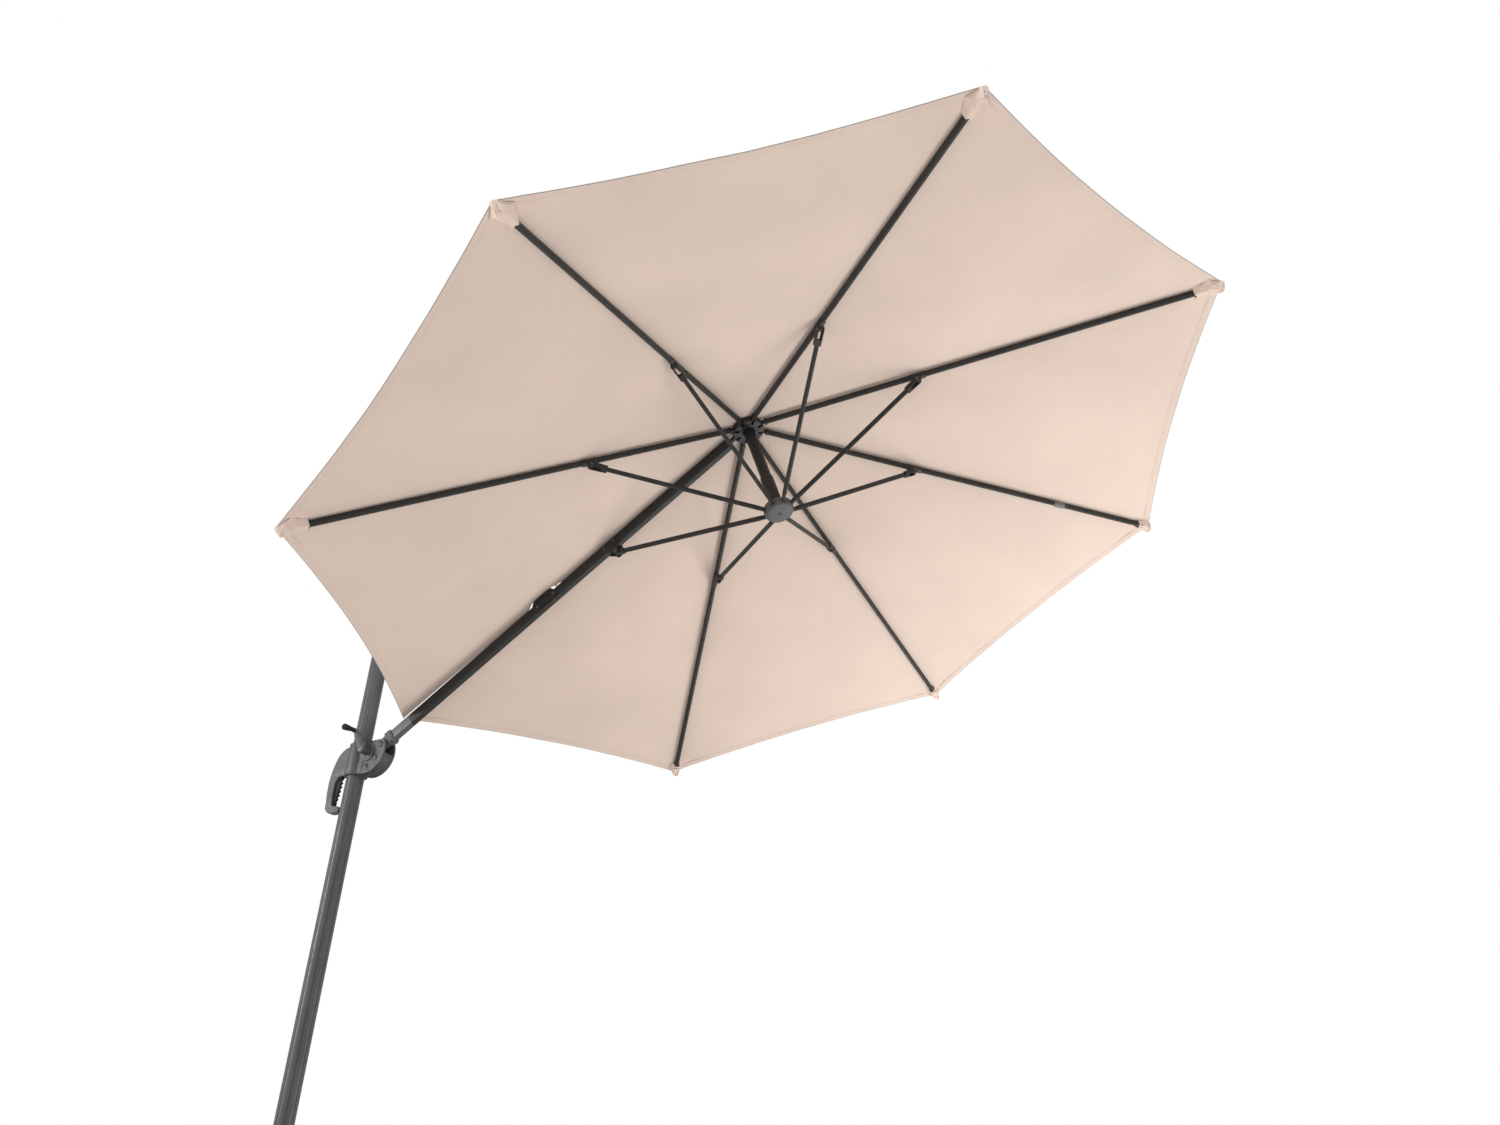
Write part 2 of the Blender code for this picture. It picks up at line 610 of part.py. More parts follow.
def slotted_disc(name, body, profile, pivot_height, inner, outer, finish):
    """A turned disc with a slot and a bore for each link's tongue."""
    disc = turned(name, body, profile, finish, 32)
    for number in range(SIDES):
        turn = Matrix.Rotation(math.radians(180 + 360 / SIDES * number), 4, "Z")
        half = 0.0058 if number == 0 and name == "crown_hub" else 0.0046
        room = block("slot", (inner, -half, -0.1), (outer, half, 0.1))
        slot = add(f"{name}_slot_{number}", room, body)
        slot.matrix_local = turn
        slot.location.z = pivot_height
        cut(disc, slot)
    return disc


def build_crown():
    body = joint("crown", CROWN_FRAME)
    top, bottom = -0.0196, -0.046
    hub = [(0.020, top), (0.053, top), (0.055, top - 0.002), (0.055, bottom + 0.004)]
    hub += [(0.048, bottom), (0.020, bottom)]
    slotted_disc("crown_hub", body, hub, -PIVOT_DEPTH, 0.0355, 0.08, PLASTIC)
    cap = [(0.0, 0.016), (0.020, 0.014), (0.045, 0.005), (0.058, -0.005), (0.058, -0.009)]
    cap += [(0.034, -0.009), (0.034, top + GAP), (0.0, top + GAP)]
    turned("crown_cap", body, cap, PLASTIC, 32)


def build_ribs():
    for number in range(1, SIDES):
        tip = on_spoke(number, CANOPY_RADIUS, RIB_TIP_DEPTH)
        pivot = crown_pivot(number)
        body = joint(f"rib_{number}_joint", placed(pivot, tip - pivot, CROWN_UP))
        name = f"rib_{number}"
        section = rounded_section(RIB_WIDTH, RIB_HEIGHT, 0.004)
        rib = tube(name, body, section, 0.022, RIB_LENGTH, 0.0015, PAINT)
        tongue = plate("tongue", eye((0, 0), 0.0068, 0.055, 0.0068), -0.004, 0.004)
        half = (RIB_WIDTH / 2, RIB_HEIGHT / 2)
        plug = block("plug", (0.0215, -half[0], -half[1]), (0.027, *half))
        along = math.sqrt(LINK**2 - JOINT_OFFSET**2)
        lug = arc((along, -JOINT_OFFSET), 0.0075, 180, 360, 5)
        lug += [(along + 0.0145, -RIB_HEIGHT / 2 + 0.001), (along - 0.0145, -RIB_HEIGHT / 2 + 0.001)]
        lug = plate("lug", lug, -0.0066, 0.0066)
        shapes = (("tongue", tongue), ("plug", plug), ("lug", lug))
        join(rib, *(add(f"{name}_{part}", mesh, body) for part, mesh in shapes))
        at = (along, -JOINT_OFFSET)
        bore = rod("rib_bore", (at[0], -0.02, at[1]), (at[0], 0.02, at[1]), 0.0035, 8)
        cut(rib, add(f"{name}_bore", bore, body))


def build_struts():
    for number in range(SIDES):
        start, end = rib_joint(number), runner_pivot(number)
        name = f"strut_{number}" if number else "arm_strut"
        body = joint(f"{name}_joint", placed(start, end - start, CROWN_UP))
        section = rounded_section(STRUT_WIDTH, STRUT_HEIGHT, 0.004)
        first = 0.036 if number else 0.020
        strut = tube(name, body, section, first, LINK - 0.024, 0.0015, PAINT)
        tongue = eye((0, 0), 0.0064, 0.055, 0.0064)
        tongue = [(LINK - px, pz) for px, pz in tongue]
        shapes = [plate("tongue", tongue, -0.0040, 0.0040)]
        # the plug bites the tube's sides and leaves it open above and below
        shapes += [block("plug", (LINK - 0.055, -0.0048, -0.0062), (LINK - 0.0235, 0.0048, 0.0062))]
        if number:
            outline = eye((0, 0), 0.009, 0.040, 0.0082)
            for near, far in ((-0.0102, -0.0077), (0.0077, 0.0102)):
                shapes += [plate("cheek", outline, near, far)]
            shapes += [block("bridge", (0.033, -0.0099, -0.0078), (0.052, 0.0099, 0.0078))]
            shapes += [rod("pin", (0, -0.0115, 0), (0, 0.0115, 0), 0.003, 8)]
        else:
            shapes += [plate("eye", eye((0, 0), 0.0095, 0.030, 0.0082), -0.0085, 0.0085)]
        join(strut, *(add(f"{name}_{n}", mesh, body) for n, mesh in enumerate(shapes)))
        if not number:
            bore = rod("arm_strut_bore", (0, -0.02, 0), (0, 0.02, 0), 0.0055, 12)
            cut(strut, add("arm_strut_bore", bore, body))


def build_runner():
    middle = CROWN_TOP - CROWN_UP * RUNNER_DEPTH
    body = joint("runner", placed(middle, direction(CANOPY_TILT), CROWN_UP))
    top, bottom = 0.0135, -0.0185
    hub = [(0.0188, top), (0.049, top), (0.050, top - 0.002), (0.048, bottom + 0.005)]
    hub += [(0.040, bottom), (0.0, bottom), (0.0, bottom + 0.008), (0.0188, bottom + 0.008)]
    slotted_disc("runner_hub", body, hub, 0, 0.0375, 0.08, PLASTIC)
    post_top = RUNNER_DEPTH - 0.026
    post = [(0.0165, post_top), (0.0185, post_top - 0.003), (0.0185, bottom + 0.0083)]
    post += [(0.0150, bottom + 0.0083), (0.0150, post_top)]
    turned("runner_post", body, post, PAINT)


# ---- canopy ----
def corner(number):
    """Where the fabric's corner lies on a rib, in the crown's frame."""
    over_arm = number % SIDES == 0
    radius = CORNER_RADIUS if over_arm else CANOPY_RADIUS
    drop = CORNER_DROP if over_arm else CANOPY_DROP
    turn = math.radians(180 + 360 / SIDES * number)
    return Vector((radius * math.cos(turn), radius * math.sin(turn), -drop))


def build_panels():
    """One panel for each rib: half of the gore on each side of it, flat from rib to hem."""
    steps = 4
    for number in range(SIDES):
        columns = {}
        for side in (-1, 1):
            for n in range(steps + 1):
                share = n / (2 * steps)
                hem = corner(number).lerp(corner(number + side), share)
                middle = 4 * share * (1 - share)
                reach = 1 - middle * HEM_SAG / 1.386
                if n == steps:
                    side_way = (corner(number) - corner(number + side)).normalized()
                    hem = hem + side_way * 0.0006 / reach
                columns[side * n] = (hem * reach, hem)
        order = sorted(columns)
        shape = bmesh.new()
        rows = []
        for outer in (False, True):
            row = []
            for place in order:
                edge, hem = columns[place]
                inner = hem * (0.050 / math.hypot(hem.x, hem.y))
                row.append(shape.verts.new(edge if outer else inner))
            rows.append(row)
        for n in range(len(order) - 1):
            shape.faces.new((rows[0][n], rows[1][n], rows[1][n + 1], rows[0][n + 1]))
        body = joint(f"canopy_panel_{number}_frame", CROWN_FRAME)
        name = f"canopy_panel_{number}"
        panel = add(name, mesh_of(name, shape), body, FABRIC)
        skin = panel.modifiers.new("thickness", "SOLIDIFY")
        skin.thickness = FABRIC_THICKNESS
        skin.offset = 1
        skin.use_even_offset = True
        if number == 0:
            arm = placed(ARM_PIVOT, direction(ARM_ANGLE))
            slit = block("slit", (0.05, -0.001, -0.1), (BRACKET_REACH, 0.012, 0.2))
            room = block("bracket_room", (0.755, -0.019, -0.1), (0.895, 0.019, 0.2))
            tools = []
            for name, mesh in (("slit", slit), ("bracket_room", room)):
                tools.append(add(name, mesh, joint(f"{name}_frame", arm)))
            cut(panel, *tools)


BEARING_TOP = build_base()
build_mast(BEARING_TOP)
build_upper_strut()
build_carriage()
build_trigger()
build_crank()
build_arm()
build_crown()
build_ribs()
build_struts()
build_runner()
build_panels()
bpy.context.view_layer.update()
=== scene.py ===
"""Looks of the cantilever parasol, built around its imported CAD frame.

Metres, +Z up. The origin is on the ground on the mast's axis, and +X points towards the canopy.
"""

import json
import math

import bmesh
import bpy
from mathutils import Matrix, Vector, noise


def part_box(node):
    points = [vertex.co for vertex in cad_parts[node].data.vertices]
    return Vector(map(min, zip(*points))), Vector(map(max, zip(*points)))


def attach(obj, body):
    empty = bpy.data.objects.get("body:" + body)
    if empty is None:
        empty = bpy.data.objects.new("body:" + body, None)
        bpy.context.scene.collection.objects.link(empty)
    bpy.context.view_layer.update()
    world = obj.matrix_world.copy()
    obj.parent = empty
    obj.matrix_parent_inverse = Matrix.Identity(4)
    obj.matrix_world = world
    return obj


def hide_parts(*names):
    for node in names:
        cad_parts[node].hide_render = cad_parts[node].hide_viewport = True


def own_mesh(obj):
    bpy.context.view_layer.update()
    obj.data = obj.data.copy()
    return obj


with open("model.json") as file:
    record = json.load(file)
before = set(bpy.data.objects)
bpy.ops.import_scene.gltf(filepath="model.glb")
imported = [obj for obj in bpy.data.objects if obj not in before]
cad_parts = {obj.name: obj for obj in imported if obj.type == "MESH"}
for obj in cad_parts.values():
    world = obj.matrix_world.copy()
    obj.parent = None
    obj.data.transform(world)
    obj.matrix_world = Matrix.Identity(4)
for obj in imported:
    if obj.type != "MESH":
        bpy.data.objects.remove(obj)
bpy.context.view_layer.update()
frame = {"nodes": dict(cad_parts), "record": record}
HINGE = {j["name"]: Vector(j["pos_m"]) for j in frame["record"]["behaviour"]["joints"]}

# ---- the CAD model's driving dimensions ----
SIDES = 8
CANOPY_RADIUS, CANOPY_DROP, CANOPY_TILT = 1.50, 0.483, 18.8
CORNER_RADIUS, CORNER_DROP = 1.541, 0.400
HEM_SAG = 0.027
CROWN_TOP = Vector((1.505, 0, 2.500))
MAST_RADIUS = 0.0305
ARM_ANGLE = 33.8
ARM_HEIGHT, ARM_WIDTH = 0.040, 0.024
BRACKET_REACH, BRACKET_RISE = 0.827, 0.060
LINK, JOINT_OFFSET = 0.577, 0.016
RIB_HEIGHT, RIB_WIDTH = 0.020, 0.014
PIVOT_RING, PIVOT_DEPTH = 0.045, 0.032

ARM_PIVOT, HEAD_PIVOT = HINGE["carriage_hinge"], HINGE["canopy_tilt"]


def direction(degrees):
    turn = math.radians(degrees)
    return Vector((math.cos(turn), 0, math.sin(turn)))


def placed(origin, x_axis, z_axis=(0, 0, 1)):
    """A frame at origin, with +X along x_axis and +Z as near z_axis as it can be."""
    x = Vector(x_axis).normalized()
    y = Vector(z_axis).cross(x).normalized()
    place = Matrix((x, y, x.cross(y))).transposed().to_4x4()
    place.translation = origin
    return place


def spoke_angle(number):
    """A rib's direction about the canopy's axis; rib 0 is the arm, towards the mast."""
    return math.radians(180 + 360 / SIDES * number)


def spoke(number):
    turn = spoke_angle(number)
    return CROWN.to_3x3() @ Vector((math.cos(turn), math.sin(turn), 0))


def spoke_turn(number):
    return Matrix.Rotation(spoke_angle(number), 4, "Z")


CROWN_UP = direction(90 + CANOPY_TILT)
CROWN = placed(CROWN_TOP, direction(CANOPY_TILT), CROWN_UP)
ARM = placed(ARM_PIVOT, direction(ARM_ANGLE))
WORLD = Matrix()
RIB_PIVOTS = [HINGE["canopy_fold"]] + [HINGE[f"rib_{k}_hinge"] for k in range(1, SIDES)]
RIB_JOINTS = [HINGE["arm_strut_hinge"]] + [HINGE[f"strut_{k}_hinge"] for k in range(1, SIDES)]
RIB_BODY = ["arm"] + [f"rib_{k}_body" for k in range(1, SIDES)]
STRUT_BODY = ["arm_strut_body"] + [f"strut_{k}_body" for k in range(1, SIDES)]
RIB_TIPS = [
    CROWN_TOP + spoke(k) * CANOPY_RADIUS - CROWN_UP * (CANOPY_DROP + 0.0113) for k in range(SIDES)
]
RIBS = [placed(RIB_PIVOTS[k], RIB_TIPS[k] - RIB_PIVOTS[k], CROWN_UP) for k in range(SIDES)]
RIB_LENGTH = (RIB_TIPS[1] - RIB_PIVOTS[1]).length
RUNNER_DEPTH = PIVOT_DEPTH + 2 * (RIB_PIVOTS[1] - RIB_JOINTS[1]).dot(CROWN_UP)
RUNNER = placed(CROWN_TOP - CROWN_UP * RUNNER_DEPTH, direction(CANOPY_TILT), CROWN_UP)


# ---- materials ----
class Finish:
    """A procedural Principled material, built up from noise, ramps and bumps."""

    def __init__(self, name, roughness, metallic=0.0):
        self.material = bpy.data.materials.new(name)
        self.material.use_nodes = True
        self.tree = self.material.node_tree
        self.shader = self.tree.nodes["Principled BSDF"]
        self.shader.inputs["Roughness"].default_value = roughness
        self.shader.inputs["Metallic"].default_value = metallic
        self.place = self.node("ShaderNodeTexCoord").outputs["Object"]
        self.normal = None

    def node(self, kind, **values):
        made = self.tree.nodes.new(kind)
        for key, value in values.items():
            if hasattr(made, key):
                setattr(made, key, value)
            else:
                made.inputs[key.replace("_", " ").title()].default_value = value
        return made

    def wire(self, source, target):
        self.tree.links.new(source, target)

    def noise(self, scale, detail=2.0, stretch=None):
        made = self.node("ShaderNodeTexNoise", scale=scale, detail=detail)
        place = self.place
        if stretch:
            mapping = self.node("ShaderNodeMapping", scale=stretch)
            self.wire(place, mapping.inputs["Vector"])
            place = mapping.outputs["Vector"]
        self.wire(place, made.inputs["Vector"])
        return made.outputs["Fac"]

    def ramp(self, value, stops):
        made = self.node("ShaderNodeValToRGB")
        ramp = made.color_ramp
        for n, (at, colour) in enumerate(stops):
            stop = ramp.elements[n] if n < 2 else ramp.elements.new(at)
            stop.position = at
            stop.color = (*colour, 1)
        self.wire(value, made.inputs["Fac"])
        return made.outputs["Color"]

    def colour(self, value, stops):
        self.wire(self.ramp(value, stops), self.shader.inputs["Base Color"])

    def roughness(self, value, low, high):
        made = self.node("ShaderNodeMapRange")
        made.inputs["From Min"].default_value = 0.3
        made.inputs["From Max"].default_value = 0.7
        made.inputs["To Min"].default_value = low
        made.inputs["To Max"].default_value = high
        self.wire(value, made.inputs["Value"])
        self.wire(made.outputs["Result"], self.shader.inputs["Roughness"])

    def bump(self, value, distance, strength=1.0):
        made = self.node("ShaderNodeBump", strength=strength, distance=distance)
        self.wire(value, made.inputs["Height"])
        if self.normal:
            self.wire(self.normal, made.inputs["Normal"])
        self.normal = made.outputs["Normal"]
        self.wire(self.normal, self.shader.inputs["Normal"])

    def plain(self, sockets):
        for key, value in sockets.items():
            self.shader.inputs[key].default_value = value


def shades(colour, low=0.85, high=1.15):
    dark = tuple(c * low for c in colour)
    light = tuple(c * high for c in colour)
    return [(0.35, dark), (0.65, light)]


def coated_metal(name, colour, roughness):
    """Powder coat: a fine orange peel with a light satin gloss."""
    finish = Finish(name, roughness, 0.15)
    finish.colour(finish.noise(5.0, 4.0), shades(colour, 0.88, 1.12))
    finish.roughness(finish.noise(60.0, 3.0), roughness - 0.06, roughness + 0.08)
    finish.bump(finish.noise(900.0, 2.0), 0.00012, 0.5)
    return finish.material


def moulded(name, colour, roughness, grain=700.0, depth=0.0002):
    """Moulded plastic: a spark-eroded grain, and a slight bloom where it has weathered."""
    finish = Finish(name, roughness)
    bloom = finish.noise(9.0, 5.0)
    finish.colour(bloom, shades(colour, 0.85, 1.2))
    finish.roughness(finish.noise(35.0, 3.0), roughness - 0.08, roughness + 0.08)
    finish.bump(finish.noise(grain, 3.0), depth, 0.7)
    return finish.material


def brushed(name, colour, roughness):
    finish = Finish(name, roughness, 1.0)
    finish.colour(finish.noise(30.0, 3.0), shades(colour, 0.85, 1.1))
    finish.roughness(finish.noise(250.0, 2.0), roughness - 0.1, roughness + 0.12)
    finish.bump(finish.noise(600.0, 2.0, (1, 1, 8)), 0.00008, 0.4)
    return finish.material


def cast_concrete(name):
    finish = Finish(name, 0.9)
    blotches = finish.noise(7.0, 6.0)
    greys = [(0.3, (0.30, 0.29, 0.27)), (0.5, (0.40, 0.39, 0.365)), (0.72, (0.50, 0.49, 0.46))]
    finish.colour(blotches, greys)
    finish.bump(finish.noise(45.0, 8.0), 0.0012, 0.6)
    pits = finish.node("ShaderNodeTexVoronoi", scale=160.0)
    finish.wire(finish.place, pits.inputs["Vector"])
    finish.bump(finish.ramp(pits.outputs["Distance"], [(0.05, (0, 0, 0)), (0.22, (1, 1, 1))]), 0.0008, 0.5)
    return finish.material


def woven(name, colour, mottle=0.05, thread=0.0011, sheen=0.25):
    """A plain weave of two crossing threads, laid along the cloth's own UV map in metres."""
    finish = Finish(name, 0.82)
    cloth = finish.node("ShaderNodeUVMap").outputs["UV"]
    heights = []
    for way in ("X", "Y"):
        wave = finish.node("ShaderNodeTexWave", wave_type="BANDS", bands_direction=way)
        wave.inputs["Scale"].default_value = 0.314 / thread
        wave.inputs["Distortion"].default_value = 0.6
        wave.inputs["Detail Scale"].default_value = 2.0
        finish.wire(cloth, wave.inputs["Vector"])
        heights.append(wave.outputs["Fac"])
    weave = finish.node("ShaderNodeMath", operation="MAXIMUM")
    finish.wire(heights[0], weave.inputs[0])
    finish.wire(heights[1], weave.inputs[1])
    clouds = finish.noise(3.0, 4.0)
    slubs = finish.noise(220.0, 2.0)
    both = finish.node("ShaderNodeMath", operation="MULTIPLY_ADD")
    finish.wire(slubs, both.inputs[0])
    both.inputs[1].default_value = 0.35
    finish.wire(clouds, both.inputs[2])
    finish.colour(both.outputs[0], [(0.45, tuple(c * (1 - mottle) for c in colour)),
                                    (0.9, tuple(c * (1 + mottle) for c in colour))])
    finish.bump(finish.noise(14.0, 3.0), 0.0015, 0.25)
    finish.bump(weave.outputs[0], 0.00025, 0.6)
    finish.plain({"Sheen Weight": sheen, "Sheen Roughness": 0.4, "Specular IOR Level": 0.25})
    return finish.material


COATED = coated_metal("coated_aluminium", (0.098, 0.100, 0.103), 0.42)
# the same powder coat painted darker: painted shade for the parts that sit under the canopy (ribs, struts,
# runner tube, arm brackets, the arm's upper part)
COATED_SHADED = coated_metal("coated_aluminium_painted_shade", (0.020, 0.021, 0.021), 0.5)
MOULDED = moulded("moulded_plastic", (0.088, 0.090, 0.093), 0.5)
MOULDED_DARK = moulded("black_plastic", (0.018, 0.018, 0.019), 0.42)
RUBBER = moulded("moulded_rubber", (0.012, 0.012, 0.012), 0.75, 400.0, 0.0004)
STEEL = brushed("plated_steel", (0.56, 0.56, 0.55), 0.32)
ZINC = brushed("black_zinc", (0.16, 0.16, 0.165), 0.38)
CONCRETE = cast_concrete("cast_concrete")
SAND = (0.80, 0.655, 0.565)
FABRIC = woven("canopy_cloth", SAND)
BINDING = woven("canopy_binding", tuple(c * 0.97 for c in SAND), thread=0.0016)
PIPING = woven("hem_piping", (0.40, 0.36, 0.33), thread=0.0008)
POCKET = woven("pocket_cloth", tuple(min(0.9, c * 1.06) for c in SAND))
THREAD = woven("sewing_thread", (0.70, 0.60, 0.53), thread=0.0004, sheen=0.5)
WEBBING = woven("grey_webbing", (0.22, 0.215, 0.21), thread=0.0009)


# ---- pieces ----
def piece(name, shape, place, finish, body, hides=(), sharp=35.0):
    """A finished piece from a bmesh in its own frame, which rides on a body."""
    bmesh.ops.transform(shape, matrix=place, verts=shape.verts)
    mesh = bpy.data.meshes.new(name)
    shape.to_mesh(mesh)
    shape.free()
    mesh.materials.append(finish)
    mesh.shade_smooth()
    mesh.set_sharp_from_angle(angle=math.radians(sharp))
    obj = bpy.data.objects.new(name, mesh)
    bpy.context.scene.collection.objects.link(obj)
    if hides:
        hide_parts(*hides)
    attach(obj, body)
    return obj


def together(*shapes):
    """Several closed shapes as one bmesh."""
    whole = bmesh.new()
    for shape in shapes:
        mesh = bpy.data.meshes.new("step")
        shape.to_mesh(mesh)
        shape.free()
        whole.from_mesh(mesh)
        bpy.data.meshes.remove(mesh)
    return whole


def moved(shape, place):
    bmesh.ops.transform(shape, matrix=place, verts=shape.verts)
    return shape


def combined(operation, shape, *tools):
    """The exact union or difference of closed shapes, as a bmesh."""
    meshes, objects = [], []
    for each in (shape, *tools):
        mesh = bpy.data.meshes.new("step")
        each.to_mesh(mesh)
        each.free()
        meshes.append(mesh)
        obj = bpy.data.objects.new("step", mesh)
        bpy.context.scene.collection.objects.link(obj)
        objects.append(obj)
    for tool in objects[1:]:
        step = objects[0].modifiers.new("step", "BOOLEAN")
        step.operation = operation
        step.object = tool
    bpy.context.view_layer.update()
    ready = objects[0].evaluated_get(bpy.context.evaluated_depsgraph_get())
    result = bmesh.new()
    result.from_mesh(ready.to_mesh())
    ready.to_mesh_clear()
    for obj in objects:
        bpy.data.objects.remove(obj)
    for mesh in meshes:
        bpy.data.meshes.remove(mesh)
    return result


def joined(shape, *tools):
    return combined("UNION", shape, *tools)


def cut(shape, *tools):
    return combined("DIFFERENCE", shape, *tools)


def arc(centre, radius, start, end, steps=16):
    angles = [math.radians(start + (end - start) * n / steps) for n in range(steps + 1)]
    return [(centre[0] + radius * math.cos(a), centre[1] + radius * math.sin(a)) for a in angles]


def softened(points, radius, steps=4, closed=True):
    """A 2D outline with its corners rounded to a radius, or less where an edge is short."""
    count = len(points)
    made = []
    for n, point in enumerate(points):
        here = Vector(point)
        if not closed and n in (0, count - 1):
            made.append(tuple(here))
            continue
        back, ahead = Vector(points[n - 1]) - here, Vector(points[(n + 1) % count]) - here
        bend = back.angle(ahead) if back.length > 1e-9 and ahead.length > 1e-9 else math.pi
        if bend > math.radians(165):
            made.append(tuple(here))
            continue
        reach = min(radius / math.tan(bend / 2), 0.45 * back.length, 0.45 * ahead.length)
        first, last = here + back.normalized() * reach, here + ahead.normalized() * reach
        for step in range(steps + 1):
            t = step / steps
            made.append(tuple(first * (1 - t) ** 2 + here * 2 * t * (1 - t) + last * t**2))
    return made


def rounded_box(half_width, top, low, radius, steps=4):
    """The outline of a box section, from low below its middle to top above it."""
    corners = [(half_width, top), (-half_width, top), (-half_width, -low), (half_width, -low)]
    return softened(corners, radius, steps)


def section_at(x, outline, lift=0.0):
    """A section's outline of (y, z) points, as a ring across X."""
    return [Vector((x, y, z + lift)) for y, z in outline]


def bevelled(shape, width, segments=3, angle=30.0):
    edges = [e for e in shape.edges if len(e.link_faces) == 2 and e.calc_face_angle() > math.radians(angle)]
    bmesh.ops.bevel(shape, geom=edges, offset=width, segments=segments, profile=0.6,
                    affect="EDGES", clamp_overlap=True)
    return shape


def plate(outline, near, far, width=0.0, segments=3):
    """A plate with an outline of (x, z) points between two y's in either order, its rims rounded."""
    shape = bmesh.new()
    rings = [[shape.verts.new((x, y, z)) for x, z in outline] for y in sorted((near, far))]
    caps = [shape.faces.new(rings[0]), shape.faces.new(rings[1][::-1])]
    for n in range(len(outline)):
        after = (n + 1) % len(outline)
        shape.faces.new((rings[0][n], rings[1][n], rings[1][after], rings[0][after]))
    bmesh.ops.recalc_face_normals(shape, faces=shape.faces)
    if width:
        edges = [e for cap in caps for e in cap.edges]
        bmesh.ops.bevel(shape, geom=edges, offset=width, segments=segments, profile=0.6,
                        affect="EDGES", clamp_overlap=True)
    return shape


def block(low, high, width=0.0, segments=3):
    (x0, y0, z0), (x1, y1, z1) = low, high
    shape = plate([(x0, z0), (x1, z0), (x1, z1), (x0, z1)], y0, y1)
    return bevelled(shape, width, segments) if width else shape


def lathe(profile, sides=64, radius=0.0, steps=4):
    """A shape turned about Z from a closed profile of (radius, height) points."""
    line = softened(profile, radius, steps) if radius else profile
    shape = bmesh.new()
    rings = []
    for r, z in line:
        if r < 1e-7:
            rings.append([shape.verts.new((0, 0, z))])
        else:
            turns = [2 * math.pi * n / sides for n in range(sides)]
            rings.append([shape.verts.new((r * math.cos(a), r * math.sin(a), z)) for a in turns])
    for n, ring in enumerate(rings):
        after = rings[(n + 1) % len(rings)]
        for m in range(sides):
            up = (m + 1) % sides
            if len(ring) == 1 and len(after) == 1:
                break
            if len(ring) == 1:
                shape.faces.new((ring[0], after[up], after[m]))
            elif len(after) == 1:
                shape.faces.new((ring[m], ring[up], after[0]))
            else:
                shape.faces.new((ring[m], ring[up], after[up], after[m]))
    bmesh.ops.recalc_face_normals(shape, faces=shape.faces)
    return shape


def facing(at, out):
    """A frame at a point, with +Z along out."""
    return Matrix.Translation(Vector(at)) @ Vector(out).to_track_quat("Z", "Y").to_matrix().to_4x4()


def rod(start, end, radius, sides=32, width=0.0):
    """A turned rod between two points, with rounded ends."""
    start, end = Vector(start), Vector(end)
    length = (end - start).length
    profile = [(0.0, 0.0), (radius, 0.0), (radius, length), (0.0, length)]
    if width:
        profile = softened(profile, width, 4, closed=False)
    return moved(lathe(profile, sides), facing(start, end - start))


def swept(path, section, sizes):
    """A solid along a path of points; section is a list of (across, up) points, scaled at each point."""
    points = [Vector(p) for p in path]
    shape = bmesh.new()
    rings = []
    across = None
    for n, point in enumerate(points):
        ahead = points[min(n + 1, len(points) - 1)] - points[max(n - 1, 0)]
        ahead.normalize()
        if across is None:
            guide = Vector((0, 0, 1)) if abs(ahead.z) < 0.9 else Vector((1, 0, 0))
            across = ahead.cross(guide).normalized()
        across = (across - ahead * across.dot(ahead)).normalized()
        up = across.cross(ahead)
        rings.append([shape.verts.new(point + (across * a + up * b) * sizes[n]) for a, b in section])
    for first, last in zip(rings, rings[1:]):
        for n in range(len(section)):
            after = (n + 1) % len(section)
            shape.faces.new((first[n], first[after], last[after], last[n]))
    shape.faces.new(rings[0][::-1])
    shape.faces.new(rings[-1])
    bmesh.ops.recalc_face_normals(shape, faces=shape.faces)
    return shape


def circle(radius, sides):
    turns = [2 * math.pi * n / sides for n in range(sides)]
    return [(radius * math.cos(a), radius * math.sin(a)) for a in turns]


def smooth_path(points, per=8):
    """A Catmull-Rom curve through points."""
    points = [Vector(p) for p in points]
    ends = [points[0] * 2 - points[1], *points, points[-1] * 2 - points[-2]]
    made = []
    for a, b, c, d in zip(ends, ends[1:], ends[2:], ends[3:]):
        for n in range(per):
            t = n / per
            made.append(0.5 * ((2 * b) + (c - a) * t + (2 * a - 5 * b + 4 * c - d) * t**2
                               + (3 * b - a - 3 * c + d) * t**3))
    made.append(points[-1])
    return made


def bolt(at, out, radius, rise, socket=0.5, sides=32):
    """A button head with a hexagon socket, at a point, facing out."""
    profile = [(0.0, 0.0), (radius, 0.0), (radius, rise * 0.35), (radius * 0.8, rise * 0.85),
               (radius * 0.55, rise), (radius * socket * 1.02, rise)]
    profile = softened(profile, radius * 0.12, 3, closed=False)
    profile += [(radius * socket, rise * 0.45), (0.0, rise * 0.4)]
    return moved(lathe(profile, sides), facing(at, out))


def washer(at, out, radius, rise, sides=40):
    profile = softened([(0.0, 0.0), (radius, 0.0), (radius, rise), (0.0, rise)], rise * 0.4, 2, closed=False)
    return moved(lathe(profile, sides), facing(at, out))


def shaft(half, radius, sides):
    """A rod across the middle, for a bore."""
    return rod((0, -half, 0), (0, half, 0), radius, sides)


def bolt_pair(x, half, z, *sizes):
    """Two button heads facing out of a piece's two sides."""
    return [bolt((x, side * half, z), (0, side, 0), *sizes) for side in (-1, 1)]


def finish_node(node, finish):
    """A better material on a CAD node that stays."""
    for each in frame["nodes"][node].material_slots:
        each.material = finish


